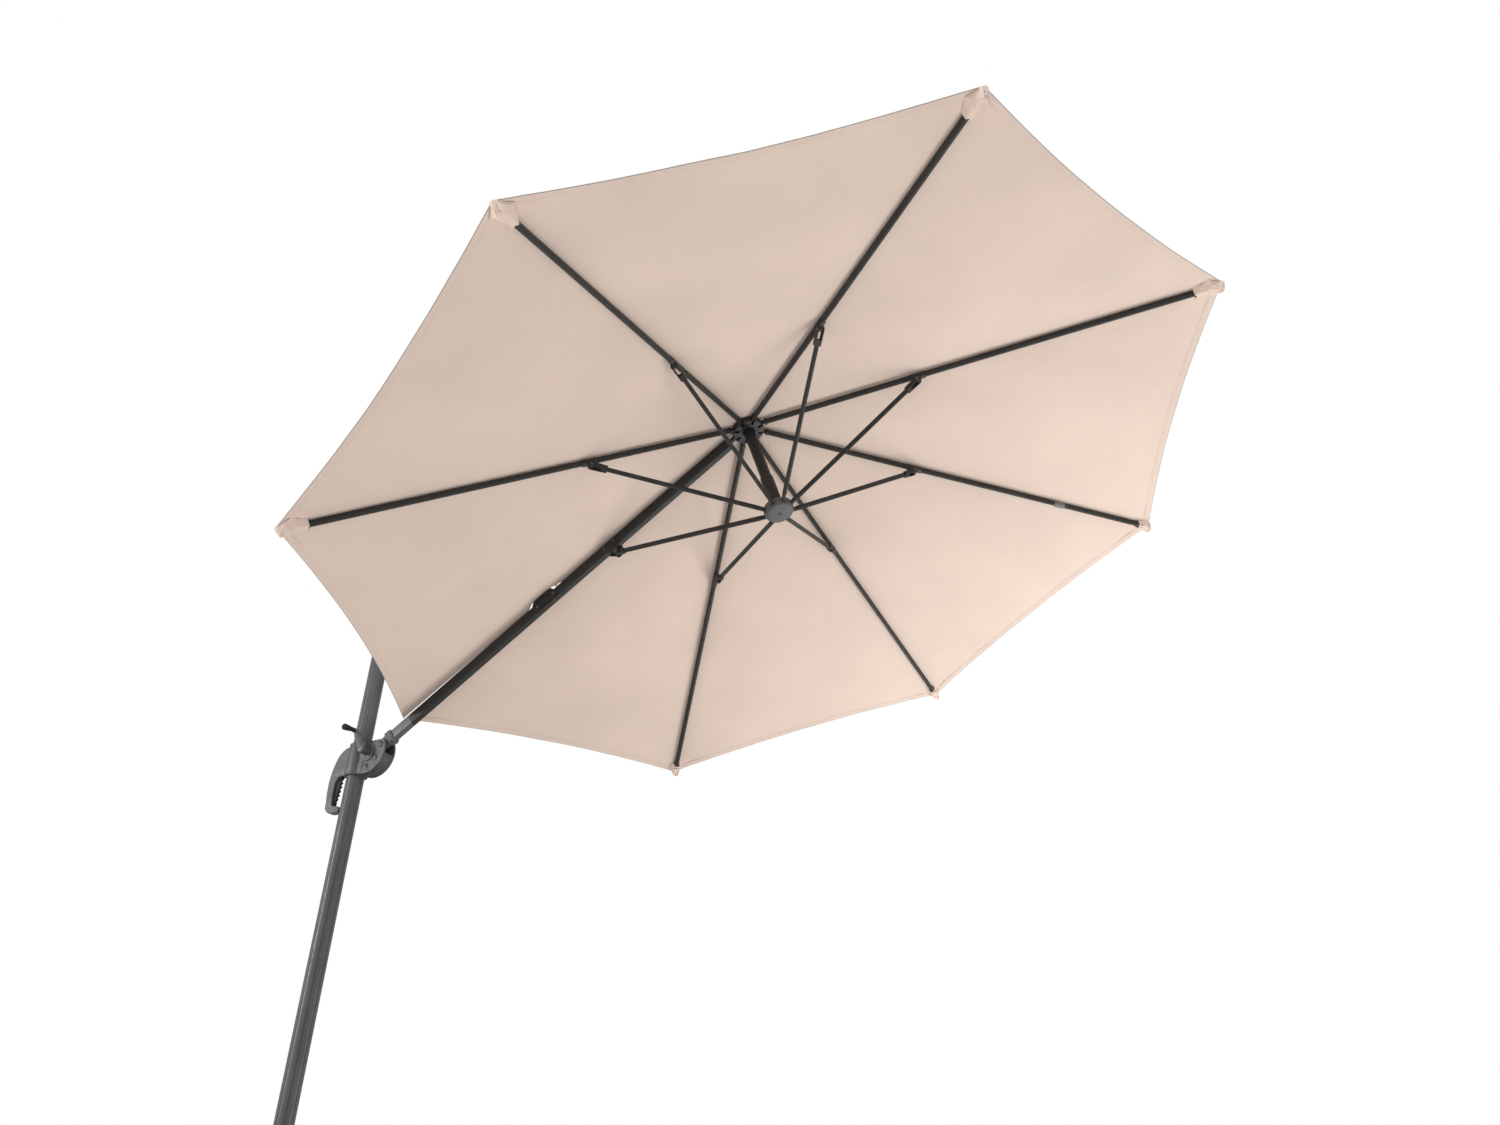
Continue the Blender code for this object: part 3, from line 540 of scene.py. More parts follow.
# ---- canopy ----
CLOTH = 0.0012  # the fabric's thickness
HALF_GORE, APOTHEM = 0.574, 1.386  # at the hem, in the canopy's plane
RIB_LINE = 1.56  # the fabric's length along a rib, for its UV map
HEM_REACH = 1.45  # the fabric's length from the crown to the hem, for the hem's widths
SLIT_START, SLIT_HALF, BRACKET_HALF = 0.838, 0.0045, 0.0185
SLIT_NARROWS = 0.935  # from the crown, past the upper bracket
SLIT_SHIFT = -0.0055  # the slit lies a little to the +Y side of the arm's middle
COLUMNS, ROWS = 16, 46
HUB_EDGE = 0.034
HEM_WIDTH, HEM_PROUD = 0.020, 0.0006
STITCH_INSET = 0.0165
SEAM_HALF = 0.011
RIB_CORNER = 0.003


def corner(number):
    over_arm = number % SIDES == 0
    radius = CORNER_RADIUS if over_arm else CANOPY_RADIUS
    drop = CORNER_DROP if over_arm else CANOPY_DROP
    turn = spoke_angle(number)
    return Vector((radius * math.cos(turn), radius * math.sin(turn), -drop))


def smoothstep(low, high, value):
    t = min(1.0, max(0.0, (value - low) / (high - low)))
    return t * t * (3 - 2 * t)


def slit_half(radius):
    """Half the slit's width over the arm: closed near the crown, wide for the bracket, then narrow."""
    opening = smoothstep(SLIT_START, SLIT_START + 0.024, radius)
    narrowing = smoothstep(SLIT_NARROWS, SLIT_NARROWS + 0.040, radius)
    flare = 0.002 * smoothstep(1.2, 1.54, radius)
    return opening * (BRACKET_HALF + (SLIT_HALF - BRACKET_HALF) * narrowing + flare)


def gore_normal(gore):
    """The way up from a gore's flat."""
    normal = corner(gore).cross(corner(gore + 1)).normalized()
    return -normal if normal.z < 0 else normal


def cloth_point(gore, t, s, lift=0.0):
    """A point of the cloth between two ribs: t runs from rib to rib, and s from the crown to the hem."""
    first, last = corner(gore), corner(gore + 1)
    middle = 4 * t * (1 - t)
    edge = first.lerp(last, t) * (1 - middle * HEM_SAG / APOTHEM)
    flat = edge * s
    across = (first - last).length * s
    # the cloth hangs a little between its ribs, with folds that start at the corners and the crown
    sag = 0.020 * across * middle * (1 - 0.85 * smoothstep(0.55, 1.0, s))
    near, away = (first, t) if t < 0.5 else (last, 1 - t)
    distance = (edge * s - near).length
    side = away * across
    angle = math.atan2(side, max(0.002, near.length * (1 - s) + 0.25 * side))
    folds = 0.0022 * math.exp(-distance / 0.16) * math.sin(10 * angle) * smoothstep(0.0, 0.07, distance)
    waves = 0.0035 * noise.noise(flat * 2.3 + Vector((0, 0, 5.2))) * middle * smoothstep(0.05, 0.4, s)
    ripple = 0.0016 * noise.noise(Vector((flat.x * 9, flat.y * 9, 1.7))) * middle * smoothstep(0.6, 1.0, s)
    return flat + gore_normal(gore) * (lift - sag + folds + waves + ripple - 0.0008 * middle)


def kite_point(number, column, s, lift=0.0, part=0):
    """A point of rib number's kite. Column runs from -1 to 1, across half a gore on each side of the rib."""
    if column < 0 or (column == 0 and part < 0):
        point = cloth_point((number - 1) % SIDES, 1 + column / 2, s, lift)
    else:
        point = cloth_point(number, column / 2, s, lift)
    if number == 0:
        side = part or (1 if column > 0 else -1)
        radius = math.hypot(point.x, point.y)
        shift = SLIT_SHIFT * smoothstep(SLIT_NARROWS, SLIT_NARROWS + 0.055, radius)
        spread = side * slit_half(radius) + shift
        point = point + Vector((0, -1, 0)) * spread * (1 - abs(column)) ** 2
    return point


def column_at(across, s):
    """The column of a point so far across from the rib, within the kite."""
    return max(-1, min(1, across / (HALF_GORE * s)))


def build_kite(number):
    """One continuous sheet over half a gore on each side of a rib, with the cloth's thickness."""
    start = HUB_EDGE / CANOPY_RADIUS
    rows = [start + (1 - start) * n / ROWS for n in range(ROWS + 1)]
    shape = bmesh.new()
    cloth = shape.loops.layers.uv.new("cloth")
    layers = []
    spots = {}
    for lift in (0.0, CLOTH):
        grid = []
        for s in rows:
            row = []
            for n in range(-COLUMNS, COLUMNS + 1):
                column = n / COLUMNS
                split = number == 0 and n == 0 and slit_half(corner(0).xy.length * s) > 1e-6
                pair = []
                for part in ((-1, 1) if split else (0,)):
                    vert = shape.verts.new(kite_point(number, column, s, lift, part))
                    spots[vert] = (column * s * HALF_GORE, s * RIB_LINE)
                    pair.append(vert)
                row.append(pair)
            grid.append(row)
        layers.append(grid)
    faces = {}
    for level, grid in enumerate(layers):
        for m in range(len(rows) - 1):
            for n in range(2 * COLUMNS):
                # a split pair gives its near side to the columns before it, and its far side to those after
                ring = [grid[m][n][-1], grid[m][n + 1][0], grid[m + 1][n + 1][0], grid[m + 1][n][-1]]
                if level == 0:
                    ring = ring[::-1]
                faces[level, m, n] = shape.faces.new(ring)
    low, high = layers

    def rim(line_low, line_high):
        for a, b, c, d in zip(line_low, line_low[1:], line_high, line_high[1:]):
            if a is not b or c is not d:
                shape.faces.new((a, b, d, c))

    for m in (0, len(rows) - 1):
        for n in range(2 * COLUMNS):
            rim([low[m][n][-1], low[m][n + 1][0]], [high[m][n][-1], high[m][n + 1][0]])
    for n in (0, 2 * COLUMNS):
        rim([row[n][0] for row in low], [row[n][0] for row in high])
    if number == 0:
        for part in (0, -1):
            first = next(m for m, row in enumerate(low) if len(row[COLUMNS]) == 2) - 1
            rim([row[COLUMNS][part] for row in low[first:]], [row[COLUMNS][part] for row in high[first:]])
    bmesh.ops.recalc_face_normals(shape, faces=shape.faces)
    for face in shape.faces:
        for loop in face.loops:
            loop[cloth].uv = spots[loop.vert]
    return shape


def squash_to_rib(obj):
    """The piece gets a mesh of its own."""
    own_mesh(obj)


def lay_out(shape):
    """Closed faces pointing out, and the cloth's UV map in metres, seen from above."""
    bmesh.ops.recalc_face_normals(shape, faces=shape.faces)
    cloth = shape.loops.layers.uv.new("cloth")
    for face in shape.faces:
        for loop in face.loops:
            loop[cloth].uv = (loop.vert.co.x, loop.vert.co.y)
    return shape


def strip(rings):
    """A closed strip through rings of points."""
    shape = bmesh.new()
    made = [[shape.verts.new(p) for p in ring] for ring in rings]
    for first, last in zip(made, made[1:]):
        for n in range(len(first)):
            after = (n + 1) % len(first)
            shape.faces.new((first[n], first[after], last[after], last[n]))
    shape.faces.new(made[0])
    shape.faces.new(made[-1][::-1])
    return lay_out(shape)


def gore_up(number, column):
    return gore_normal((number - 1) % SIDES if column < 0 else number)


def hem_rings(number, start, end, part, steps=40):
    """The folded hem, round the cloth's edge, with a rolled outer edge."""
    rings = []
    for n in range(steps + 1):
        column = start + (end - start) * n / steps
        outer = kite_point(number, column, 1.0, 0, part)
        inner = kite_point(number, column, 1.0 - HEM_WIDTH / HEM_REACH, 0, part)
        up = gore_up(number, column if column else part)
        out = (outer - inner).normalized()
        puckers = 0.0003 * math.sin(column * 330)
        under, over = -up * (HEM_PROUD + puckers), up * (CLOTH + HEM_PROUD + puckers)
        rolled = outer + out * 0.0016
        rings.append([
            inner - up * 0.0003, inner + under + out * 0.001, outer + under, rolled - up * 0.0004,
            rolled + up * (CLOTH + 0.0004), outer + over, inner + over + out * 0.001,
            inner + up * (CLOTH + 0.0003),
        ])
    return rings


def piping(number, start, end, part, steps=48):
    """The thin dark cord in the hem's outer edge."""
    rings = []
    for n in range(steps + 1):
        column = start + (end - start) * n / steps
        outer = kite_point(number, column, 1.0, CLOTH / 2, part)
        inner = kite_point(number, column, 0.985, CLOTH / 2, part)
        up, out = gore_up(number, column if column else part), (outer - inner).normalized()
        middle = outer + out * 0.0018
        rings.append([middle + out * a + up * b for a, b in circle(0.0013, 8)])
    return strip(rings)


def stitch(shape, start, end, up, width=0.0007, rise=0.0005):
    """One stitch: a small raised lozenge of thread."""
    along = end - start
    side = along.normalized().cross(up) * width
    middle = (start + end) / 2
    top = middle + up * rise
    points = (start, middle + side, end, middle - side, top, middle - up * 0.0002)
    verts = [shape.verts.new(p) for p in points]
    for a, b in ((0, 1), (1, 2), (2, 3), (3, 0)):
        shape.faces.new((verts[a], verts[b], verts[4]))
        shape.faces.new((verts[b], verts[a], verts[5]))


def stitch_line(shape, point_at, up_at, count, under):
    """A row of stitches along a line, on the cloth's upper or lower face."""
    for n in range(count):
        first, last = point_at((n + 0.14) / count), point_at((n + 0.86) / count)
        up = up_at((n + 0.5) / count)
        stitch(shape, first, last, -up if under else up)


def build_canopy():
    for number in range(SIDES):
        body = RIB_BODY[number]
        sheet = piece(f"canopy_{number}", build_kite(number), CROWN, FABRIC, body,
                      hides=[f"canopy_panel_{number}"], sharp=50)
        spans = ((-1.0, 0.0, -1), (0.0, 1.0, 1))
        sides = [strip(hem_rings(number, *span)) for span in spans]
        hem = piece(f"hem_{number}", together(*sides), CROWN, BINDING, body, sharp=60)
        cords = [piping(number, *span) for span in spans]
        edge = piece(f"hem_piping_{number}", together(*cords), CROWN, PIPING, body, sharp=60)
        sewing = bmesh.new()
        for start, end, part in spans:
            for under in (True, False):
                level = -0.0007 if under else CLOTH + 0.0007

                def at(t, start=start, end=end, part=part, level=level):
                    column = start + (end - start) * t
                    return kite_point(number, column, 1 - STITCH_INSET / HEM_REACH, level, part)

                stitch_line(sewing, at, lambda t, part=part: gore_up(number, part), 90, under)
        threads = piece(f"hem_stitching_{number}", lay_out(sewing), CROWN, THREAD, body)
        for soft in (sheet, hem, edge, threads):
            squash_to_rib(soft)
        extras = [hem, edge, threads]
        if number:
            extras += build_seam(number, body)
            extras += build_pocket(number, body)
        else:
            extras += build_slit_binding()


def build_seam(number, body):
    """The flat-felled seam over a rib, with its two rows of stitches."""
    steps, half = 60, SEAM_HALF
    top = ((-half, 0.0001), (-half * 0.9, 0.0011), (0, 0.0016), (half * 0.9, 0.0011), (half, 0.0001))
    rings = []
    for n in range(steps + 1):
        s = 0.060 / CANOPY_RADIUS + (0.985 - 0.060 / CANOPY_RADIUS) * n / steps
        ring = []
        for across, rise in top:
            ring.append(kite_point(number, column_at(across, s), s, CLOTH + rise))
        for across in (half * 0.6, 0, -half * 0.6):
            ring.append(kite_point(number, column_at(across, s), s, CLOTH - 0.0004))
        rings.append(ring)
    seam = piece(f"seam_{number}", strip(rings), CROWN, FABRIC, body, sharp=60)
    sewing = bmesh.new()
    for across in (-0.0085, 0.0085):
        def at(t, across=across):
            s = 0.065 / CANOPY_RADIUS + (0.98 - 0.065 / CANOPY_RADIUS) * t
            return kite_point(number, column_at(across, s), s, CLOTH + 0.0012)

        stitch_line(sewing, at, lambda t, across=across: gore_up(number, across), 230, False)
    threads = piece(f"seam_stitching_{number}", lay_out(sewing), CROWN, THREAD, body)
    return [seam, threads]


def build_slit_binding():
    """The bound edges of the slit over the arm, from the bracket's opening to the hem."""
    made = []
    for part, label in ((-1, "far"), (1, "near")):
        rings = []
        start = (SLIT_START + 0.004) / CORNER_RADIUS
        for n in range(61):
            s = start + (1 - start) * n / 60
            edge = kite_point(0, 0, s, 0, part)
            inner = kite_point(0, part * 0.012 / (HALF_GORE * s), s, 0, part)
            up = gore_up(0, part)
            out = (edge - inner).normalized() * 0.0012
            rings.append([
                inner - up * 0.0002, inner - up * 0.0010, edge - up * 0.0010, edge + out,
                edge + out + up * CLOTH, edge + up * (CLOTH + 0.0010), inner + up * (CLOTH + 0.0010),
                inner + up * (CLOTH + 0.0002),
            ])
        made.append(piece(f"slit_binding_{label}", strip(rings), CROWN, POCKET, "arm", sharp=60))
    return made


def build_pocket(number, body):
    """The hood of cloth that takes a rib's end, gathered where it is sewn to the corner."""
    long_pocket = number <= 4
    length = 0.070 if long_pocket else 0.040
    end_radius = CANOPY_RADIUS + 0.0085
    place = RIBS[number]
    to_rib = place.inverted() @ CROWN
    steps, round_steps = 26, 40
    start_radius = CANOPY_RADIUS - length
    shape = bmesh.new()
    layers = []
    for skin in (0.0, 0.0009):
        grid = []
        for n in range(steps + 1):
            t = 1 - (1 - n / steps) ** 1.6
            radius = start_radius + (end_radius - start_radius) * t
            s = radius / CANOPY_RADIUS
            spread = (0.0155 + 0.034 * t**1.2) if long_pocket else (0.0125 + 0.020 * t)
            spread = min(spread, 0.0115 + max(0.0, CANOPY_RADIUS - radius) * 2.0)
            closing = math.sqrt(max(0.0, 1 - smoothstep(CANOPY_RADIUS + 0.0030, end_radius + 0.0004, radius)))
            depth = (RIB_HEIGHT + 0.0042) * closing
            row = []
            for m in range(round_steps + 1):
                a = -1 + 2 * m / round_steps
                top = to_rib @ kite_point(number, column_at(a * spread, s), s, -0.0004)
                # full over the rib, then down to the cloth at the pocket's edges
                flank = (spread * abs(a) - 0.0095) / max(0.002, spread - 0.0095)
                bulge = 1 - min(1.0, max(0.0, flank)) ** 1.25
                wave = math.sin(11 * a + 3 * math.sin(5 * t + number)) + 0.5 * math.sin(23 * a + 4 * t)
                crease = 1 + 0.10 * (wave + 1.5) * t * math.sqrt(closing)
                lip = 0.0012 * (1 - smoothstep(0.0, 0.10, t)) * bulge
                drop = (depth * bulge * crease + lip) - skin * bulge
                row.append(shape.verts.new(top - Vector((0, 0, 1)) * drop))
            grid.append(row)
        layers.append(grid)
    outer, inner = layers
    for grid, flip in ((outer, False), (inner, True)):
        for first, last in zip(grid, grid[1:]):
            for m in range(round_steps):
                ring = (first[m], first[m + 1], last[m + 1], last[m])
                shape.faces.new(ring[::-1] if flip else ring)
    for row_out, row_in in ((outer[0], inner[0]), (outer[-1], inner[-1])):
        for a, b, c, d in zip(row_out, row_out[1:], row_in, row_in[1:]):
            shape.faces.new((a, b, d, c))
    for m in (0, -1):
        for n in range(steps):
            shape.faces.new((outer[n][m], outer[n + 1][m], inner[n + 1][m], inner[n][m]))
    bmesh.ops.recalc_face_normals(shape, faces=shape.faces)
    cloth = shape.loops.layers.uv.new("cloth")
    for face in shape.faces:
        for loop in face.loops:
            loop[cloth].uv = (loop.vert.co.x, loop.vert.co.y + loop.vert.co.z)
    pocket = piece(f"pocket_{number}", shape, place, POCKET, body, sharp=60)
    # the moulded cap on the rib's end, flared where the pocket is short and shows it
    reach = RIB_LENGTH + 0.0008
    if long_pocket:
        mouth = [(reach - 0.034, 0.0), (reach - 0.032, 0.0010), (reach - 0.003, 0.0010), (reach, -0.001)]
    else:
        mouth = [(reach - 0.062, 0.0), (reach - 0.060, 0.0012), (reach - 0.050, 0.0018),
                 (reach - 0.040, 0.0042), (reach - 0.034, 0.0036), (reach - 0.028, 0.0006),
                 (reach - 0.003, 0.0006), (reach, -0.001)]
    rings = []
    for x, grow in mouth:
        top, low = RIB_HEIGHT / 2 + min(grow, 0.0006), RIB_HEIGHT / 2 + grow
        rings.append(section_at(x, rounded_box(RIB_WIDTH / 2 + grow, top, low, RIB_CORNER)))
    piece(f"rib_cap_{number}", strip(rings), place, MOULDED_DARK, body, sharp=45)
    return [pocket]


def build_tie():
    """The small tab of grey webbing tied round one rib."""
    rings = []
    for n, x in enumerate((1.130, 1.133, 1.150, 1.167, 1.170)):
        grow = 0.0004 if n in (0, 4) else 0.0012
        top, low = RIB_HEIGHT / 2 + 0.0003, RIB_HEIGHT / 2 + grow
        rings.append(section_at(x, rounded_box(RIB_WIDTH / 2 + grow, top, low, RIB_CORNER)))
    piece("rib_tie", strip(rings), RIBS[5], WEBBING, RIB_BODY[5], sharp=45)


# ---- crown, runner, ribs and struts ----
PATCH_POINTS = 128


def slots(pivot_height, inner, outer, half, floor=-0.1):
    made = []
    for number in range(SIDES):
        room = block((inner, -half, floor), (outer, half, 0.1))
        made.append(moved(room, Matrix.Translation((0, 0, pivot_height)) @ spoke_turn(number)))
    return made


def build_crown():
    top, bottom = -0.0196, -0.046
    disc = lathe([(0.0200, top), (0.0545, top), (0.0545, bottom), (0.0200, bottom)], 128, 0.0035)
    hub = cut(disc, *slots(-PIVOT_DEPTH, 0.0352, 0.08, 0.0050))
    bevelled(hub, 0.0005, 2, 40)
    piece("crown_spider", hub, CROWN, MOULDED_DARK, "crown", hides=["crown_hub"])
    dome = [(0.0, 0.016), (0.012, 0.0155), (0.030, 0.0115), (0.048, 0.0035), (0.0578, -0.005),
            (0.0578, -0.009), (0.0555, -0.009), (0.034, -0.0085), (0.034, top + 0.0003), (0.0, top + 0.0003)]
    finial = [(0.0, 0.0262), (0.0065, 0.0245), (0.0085, 0.0205), (0.0068, 0.0170), (0.0105, 0.0148),
              (0.0, 0.0140)]
    dome = lathe(softened(dome, 0.004, 5, closed=False), 128)
    cap = joined(dome, lathe(softened(finial, 0.0015, 4, closed=False), 64))
    piece("crown_dome", cap, CROWN, MOULDED_DARK, "crown", hides=["crown_cap"])
    # one pin through each clevis, and a screw head on each lobe between them
    pins, screws = [], []
    for number in range(SIDES):
        half = 0.0098 if number else 0.0108
        for pin in bolt_pair(PIVOT_RING, half - 0.0028, -PIVOT_DEPTH, 0.0042, 0.0024, 0.42, 20):
            pins.append(moved(pin, spoke_turn(number)))
        screw = bolt((0.0455, 0, bottom + 0.0002), (0, 0, -1), 0.0034, 0.0022, 0.45, 20)
        screws.append(moved(screw, spoke_turn(number + 0.5)))
    piece("crown_pins", together(*pins), CROWN, STEEL, "crown")
    piece("crown_screws", together(*screws), CROWN, ZINC, "crown")
    # the patch of cloth under the crown, on the sheets' lower face
    shape = bmesh.new()
    made = []
    for radius, lift in ((0.036, -0.0004), (0.036, -0.0014), (0.094, -0.0014), (0.098, -0.0010),
                         (0.098, -0.0002)):
        ring = []
        for n in range(PATCH_POINTS):
            number, part = divmod(SIDES * n / PATCH_POINTS, 1)
            number = int(number)
            span = 0.5 * (corner(number).xy.length + corner(number + 1).xy.length)
            ring.append(shape.verts.new(cloth_point(number, part, radius / span, lift)))
        made.append(ring)
    for first, last in zip(made, made[1:] + made[:1]):
        for n in range(PATCH_POINTS):
            after = (n + 1) % PATCH_POINTS
            shape.faces.new((first[n], first[after], last[after], last[n]))
    piece("crown_patch", lay_out(shape), CROWN, BINDING, "crown", sharp=60)


def build_runner():
    top, bottom = 0.0135, -0.0185
    rim = [(0.0190, top), (0.0485, top), (0.0500, top - 0.003), (0.0492, bottom + 0.010)]
    rim += [(0.0440, bottom + 0.0020), (0.030, bottom), (0.0, bottom), (0.0, bottom + 0.008)]
    rim += [(0.0190, bottom + 0.008)]
    disc = lathe(softened(rim, 0.0028, 5, closed=False), 128)
    hub = cut(disc, *slots(0, 0.0372, 0.08, 0.0050, -0.0095))
    bevelled(hub, 0.0005, 2, 40)
    piece("runner_disc", hub, RUNNER, MOULDED, "runner", hides=["runner_hub"])
    screw = bolt((0, 0, bottom + 0.0004), (0, 0, -1), 0.0070, 0.0016, 0.5)
    well = washer((0, 0, bottom + 0.0002), (0, 0, -1), 0.0115, 0.0007)
    piece("runner_screw", screw, RUNNER, MOULDED_DARK, "runner")
    piece("runner_screw_seat", well, RUNNER, MOULDED, "runner")
    pins = []
    for number in range(SIDES):
        for pin in bolt_pair(PIVOT_RING, 0.0072, 0, 0.0040, 0.0022, 0.42, 20):
            pins.append(moved(pin, spoke_turn(number)))
    piece("runner_pins", together(*pins), RUNNER, ZINC, "runner")
    post_top = RUNNER_DEPTH - 0.026
    tube = [(0.0155, post_top), (0.0183, post_top), (0.0185, post_top - 0.004), (0.0185, 0.150),
            (0.0205, 0.147), (0.0218, 0.143), (0.0218, 0.030), (0.0200, 0.0245), (0.0185, 0.0230),
            (0.0185, bottom + 0.0083), (0.0150, bottom + 0.0083), (0.0150, post_top)]
    post = lathe(tube, 96, 0.0012, 3)
    # the runner tube under the canopy takes the darker coat: painted shade
    piece("runner_tube", post, RUNNER, COATED_SHADED, "runner", hides=["runner_post"])


def build_linkage():
    """Rivets on the rib joints, and plain pins through the struts' forks."""
    for number in range(1, SIDES):
        place = placed(RIB_JOINTS[number], RIB_TIPS[number] - RIB_PIVOTS[number], CROWN_UP)
        heads = bolt_pair(0, 0.0102, 0, 0.0058, 0.0030, 0.42, 24)
        piece(f"strut_pin_{number}", together(*heads), place, ZINC, STRUT_BODY[number])
        # the moulded saddle that holds the joint's lug to the rib
        rings = []
        for x, grow in ((-0.026, 0.0003), (-0.024, 0.0012), (0.024, 0.0012), (0.026, 0.0003)):
            top, low = RIB_HEIGHT / 2 - 0.002, RIB_HEIGHT / 2 + grow
            outline = rounded_box(RIB_WIDTH / 2 + grow, top, low, RIB_CORNER)
            rings.append(section_at(x, outline, JOINT_OFFSET))
        piece(f"rib_saddle_{number}", strip(rings), place, MOULDED_DARK, RIB_BODY[number], sharp=45)
        # ribs and struts under the canopy take the darker coat: painted shade
        finish_node(f"rib_{number}", COATED_SHADED)
        finish_node(f"strut_{number}", COATED_SHADED)
    finish_node("arm_strut", COATED_SHADED)


# ---- arm and upper strut ----
ARM_SHADE_START = 0.185  # painted shade: from here on, where the arm passes under the canopy, its coat is painted darker


def build_arm():
    half_width, half_height = ARM_WIDTH / 2, ARM_HEIGHT / 2
    section = rounded_box(half_width, half_height, half_height, 0.0055, 6)
    hollow = [(y * 0.86, z * 0.92) for y, z in section]
    far_end = (ARM.inverted() @ RIB_PIVOTS[0]).x - 0.036
    for name, first, last, finish, hides in (
        ("arm_lower", 0.0862, ARM_SHADE_START, COATED, ["arm_tube"]),
        # the part under the canopy is the same coat painted darker, as painted shade
        ("arm_upper", ARM_SHADE_START, far_end, COATED_SHADED, []),
    ):
        tube = strip([section_at(x, section) for x in (first, last)])
        room = strip([section_at(x, hollow) for x in (first - 0.01, last + 0.01)])
        piece(name, cut(tube, room), ARM, finish, "arm", hides=hides)
    finish_node("arm_tongue", MOULDED_DARK)
    finish_node("upper_strut", COATED)
    # the heel: a fork about the spool, a neck, and a collar with two raised rings that takes the tube
    neck = rounded_box(0.0155, 0.0165, 0.0165, 0.0055, 6)
    rings = [section_at(x, neck) for x in (0.030, 0.0745)]
    for x, grow in (
        (0.0780, 1.0), (0.0810, 1.04), (0.0835, 1.04), (0.0860, 0.985), (0.0890, 0.985),
        (0.0915, 1.05), (0.0950, 1.05), (0.0975, 0.985), (0.1010, 0.985), (0.1035, 0.93),
    ):
        rings.append(section_at(x, rounded_box(0.0168 * grow, 0.0235 * grow, 0.0235 * grow, 0.0055, 6)))
    heel = strip(rings)
    ears = []
    for side in (-1, 1):
        outline = arc((0, 0), 0.0212, 270, 90, 24) + [(0.036, 0.0165), (0.036, -0.0165)]
        ears.append(plate(outline, side * 0.0110, side * 0.0168, 0.001, 2))
    bore = rounded_box(half_width + 0.0002, half_height + 0.0002, half_height + 0.0002, 0.004)
    pocket = strip([section_at(x, bore) for x in (0.0857, 0.12)])
    cord_way = rod((0.015, 0, 0), (0.11, 0, 0), 0.007, 24)
    heel = cut(joined(heel, *ears), pocket, shaft(0.011, 0.0205, 48), shaft(0.03, 0.0063, 32), cord_way)
    piece("arm_heel_collar", heel, ARM, MOULDED, "arm", hides=["arm_heel"])

    near, far = half_width + 0.0003, half_width + 0.0033
    x, z = BRACKET_REACH, BRACKET_RISE
    upper = arc((x, z), 0.014, 20, 160, 20)
    upper += [(x - 0.058, 0.014), (x - 0.052, -0.012), (x + 0.046, -0.012), (x + 0.040, 0.020)]
    low_x, low_z = (ARM.inverted() @ RIB_JOINTS[0]).xz
    lower = arc((low_x, low_z), 0.013, 180, 350, 20)
    lower += [(low_x + 0.030, -0.010), (low_x + 0.022, 0.012)]
    lower += [(low_x - 0.044, 0.012), (low_x - 0.036, -0.014)]
    kinds = (
        # name, outline, pin, and the rivets beside it
        ("upper", upper, (x, z), ((x - 0.040, 0.001), (x + 0.034, 0.001))),
        ("lower", lower, (low_x, low_z), ((low_x - 0.030, 0.001), (low_x + 0.014, 0.002))),
    )
    for name, outline, pin, rivets in kinds:
        outline = softened(outline, 0.006, 5)
        cheeks = [plate(outline, side * near, side * far, 0.0007, 2) for side in (-1, 1)]
        across = rod((pin[0], -far + 0.0005, pin[1]), (pin[0], far - 0.0005, pin[1]), 0.005, 32)
        # the brackets under the canopy take the darker coat: painted shade
        piece(f"{name}_bracket", joined(cheeks[0], across, cheeks[1]), ARM, COATED_SHADED, "arm",
              hides=[f"strut_bracket_{name}"])
        heads = []
        for side in (-1, 1):
            heads.append(bolt((pin[0], side * far, pin[1]), (0, side, 0), 0.0075, 0.0034, 0.42))
            for at in rivets:
                heads.append(bolt((at[0], side * far, at[1]), (0, side, 0), 0.0048, 0.0024, 0.1, 24))
        piece(f"{name}_bracket_rivets", together(*heads), ARM, ZINC, "arm")


# ---- mast ----
def mast_outline(radius):
    """Eight soft corners, with a groove down the middle of each flat."""
    points = []
    for side in range(SIDES):
        middle = 45 * side
        for step in range(-16, 17, 4):
            turn = math.radians(middle + step)
            flat = radius * (1 - 0.004 * (1 - (step / 16) ** 2))
            if step == 0:
                for nudge, depth in ((-2.6, 0.0), (-1.3, 0.0019), (1.3, 0.0019), (2.6, 0.0)):
                    a = math.radians(middle + nudge)
                    points.append(((flat - depth) * math.cos(a), (flat - depth) * math.sin(a)))
                continue
            points.append((flat * math.cos(turn), flat * math.sin(turn)))
    return points


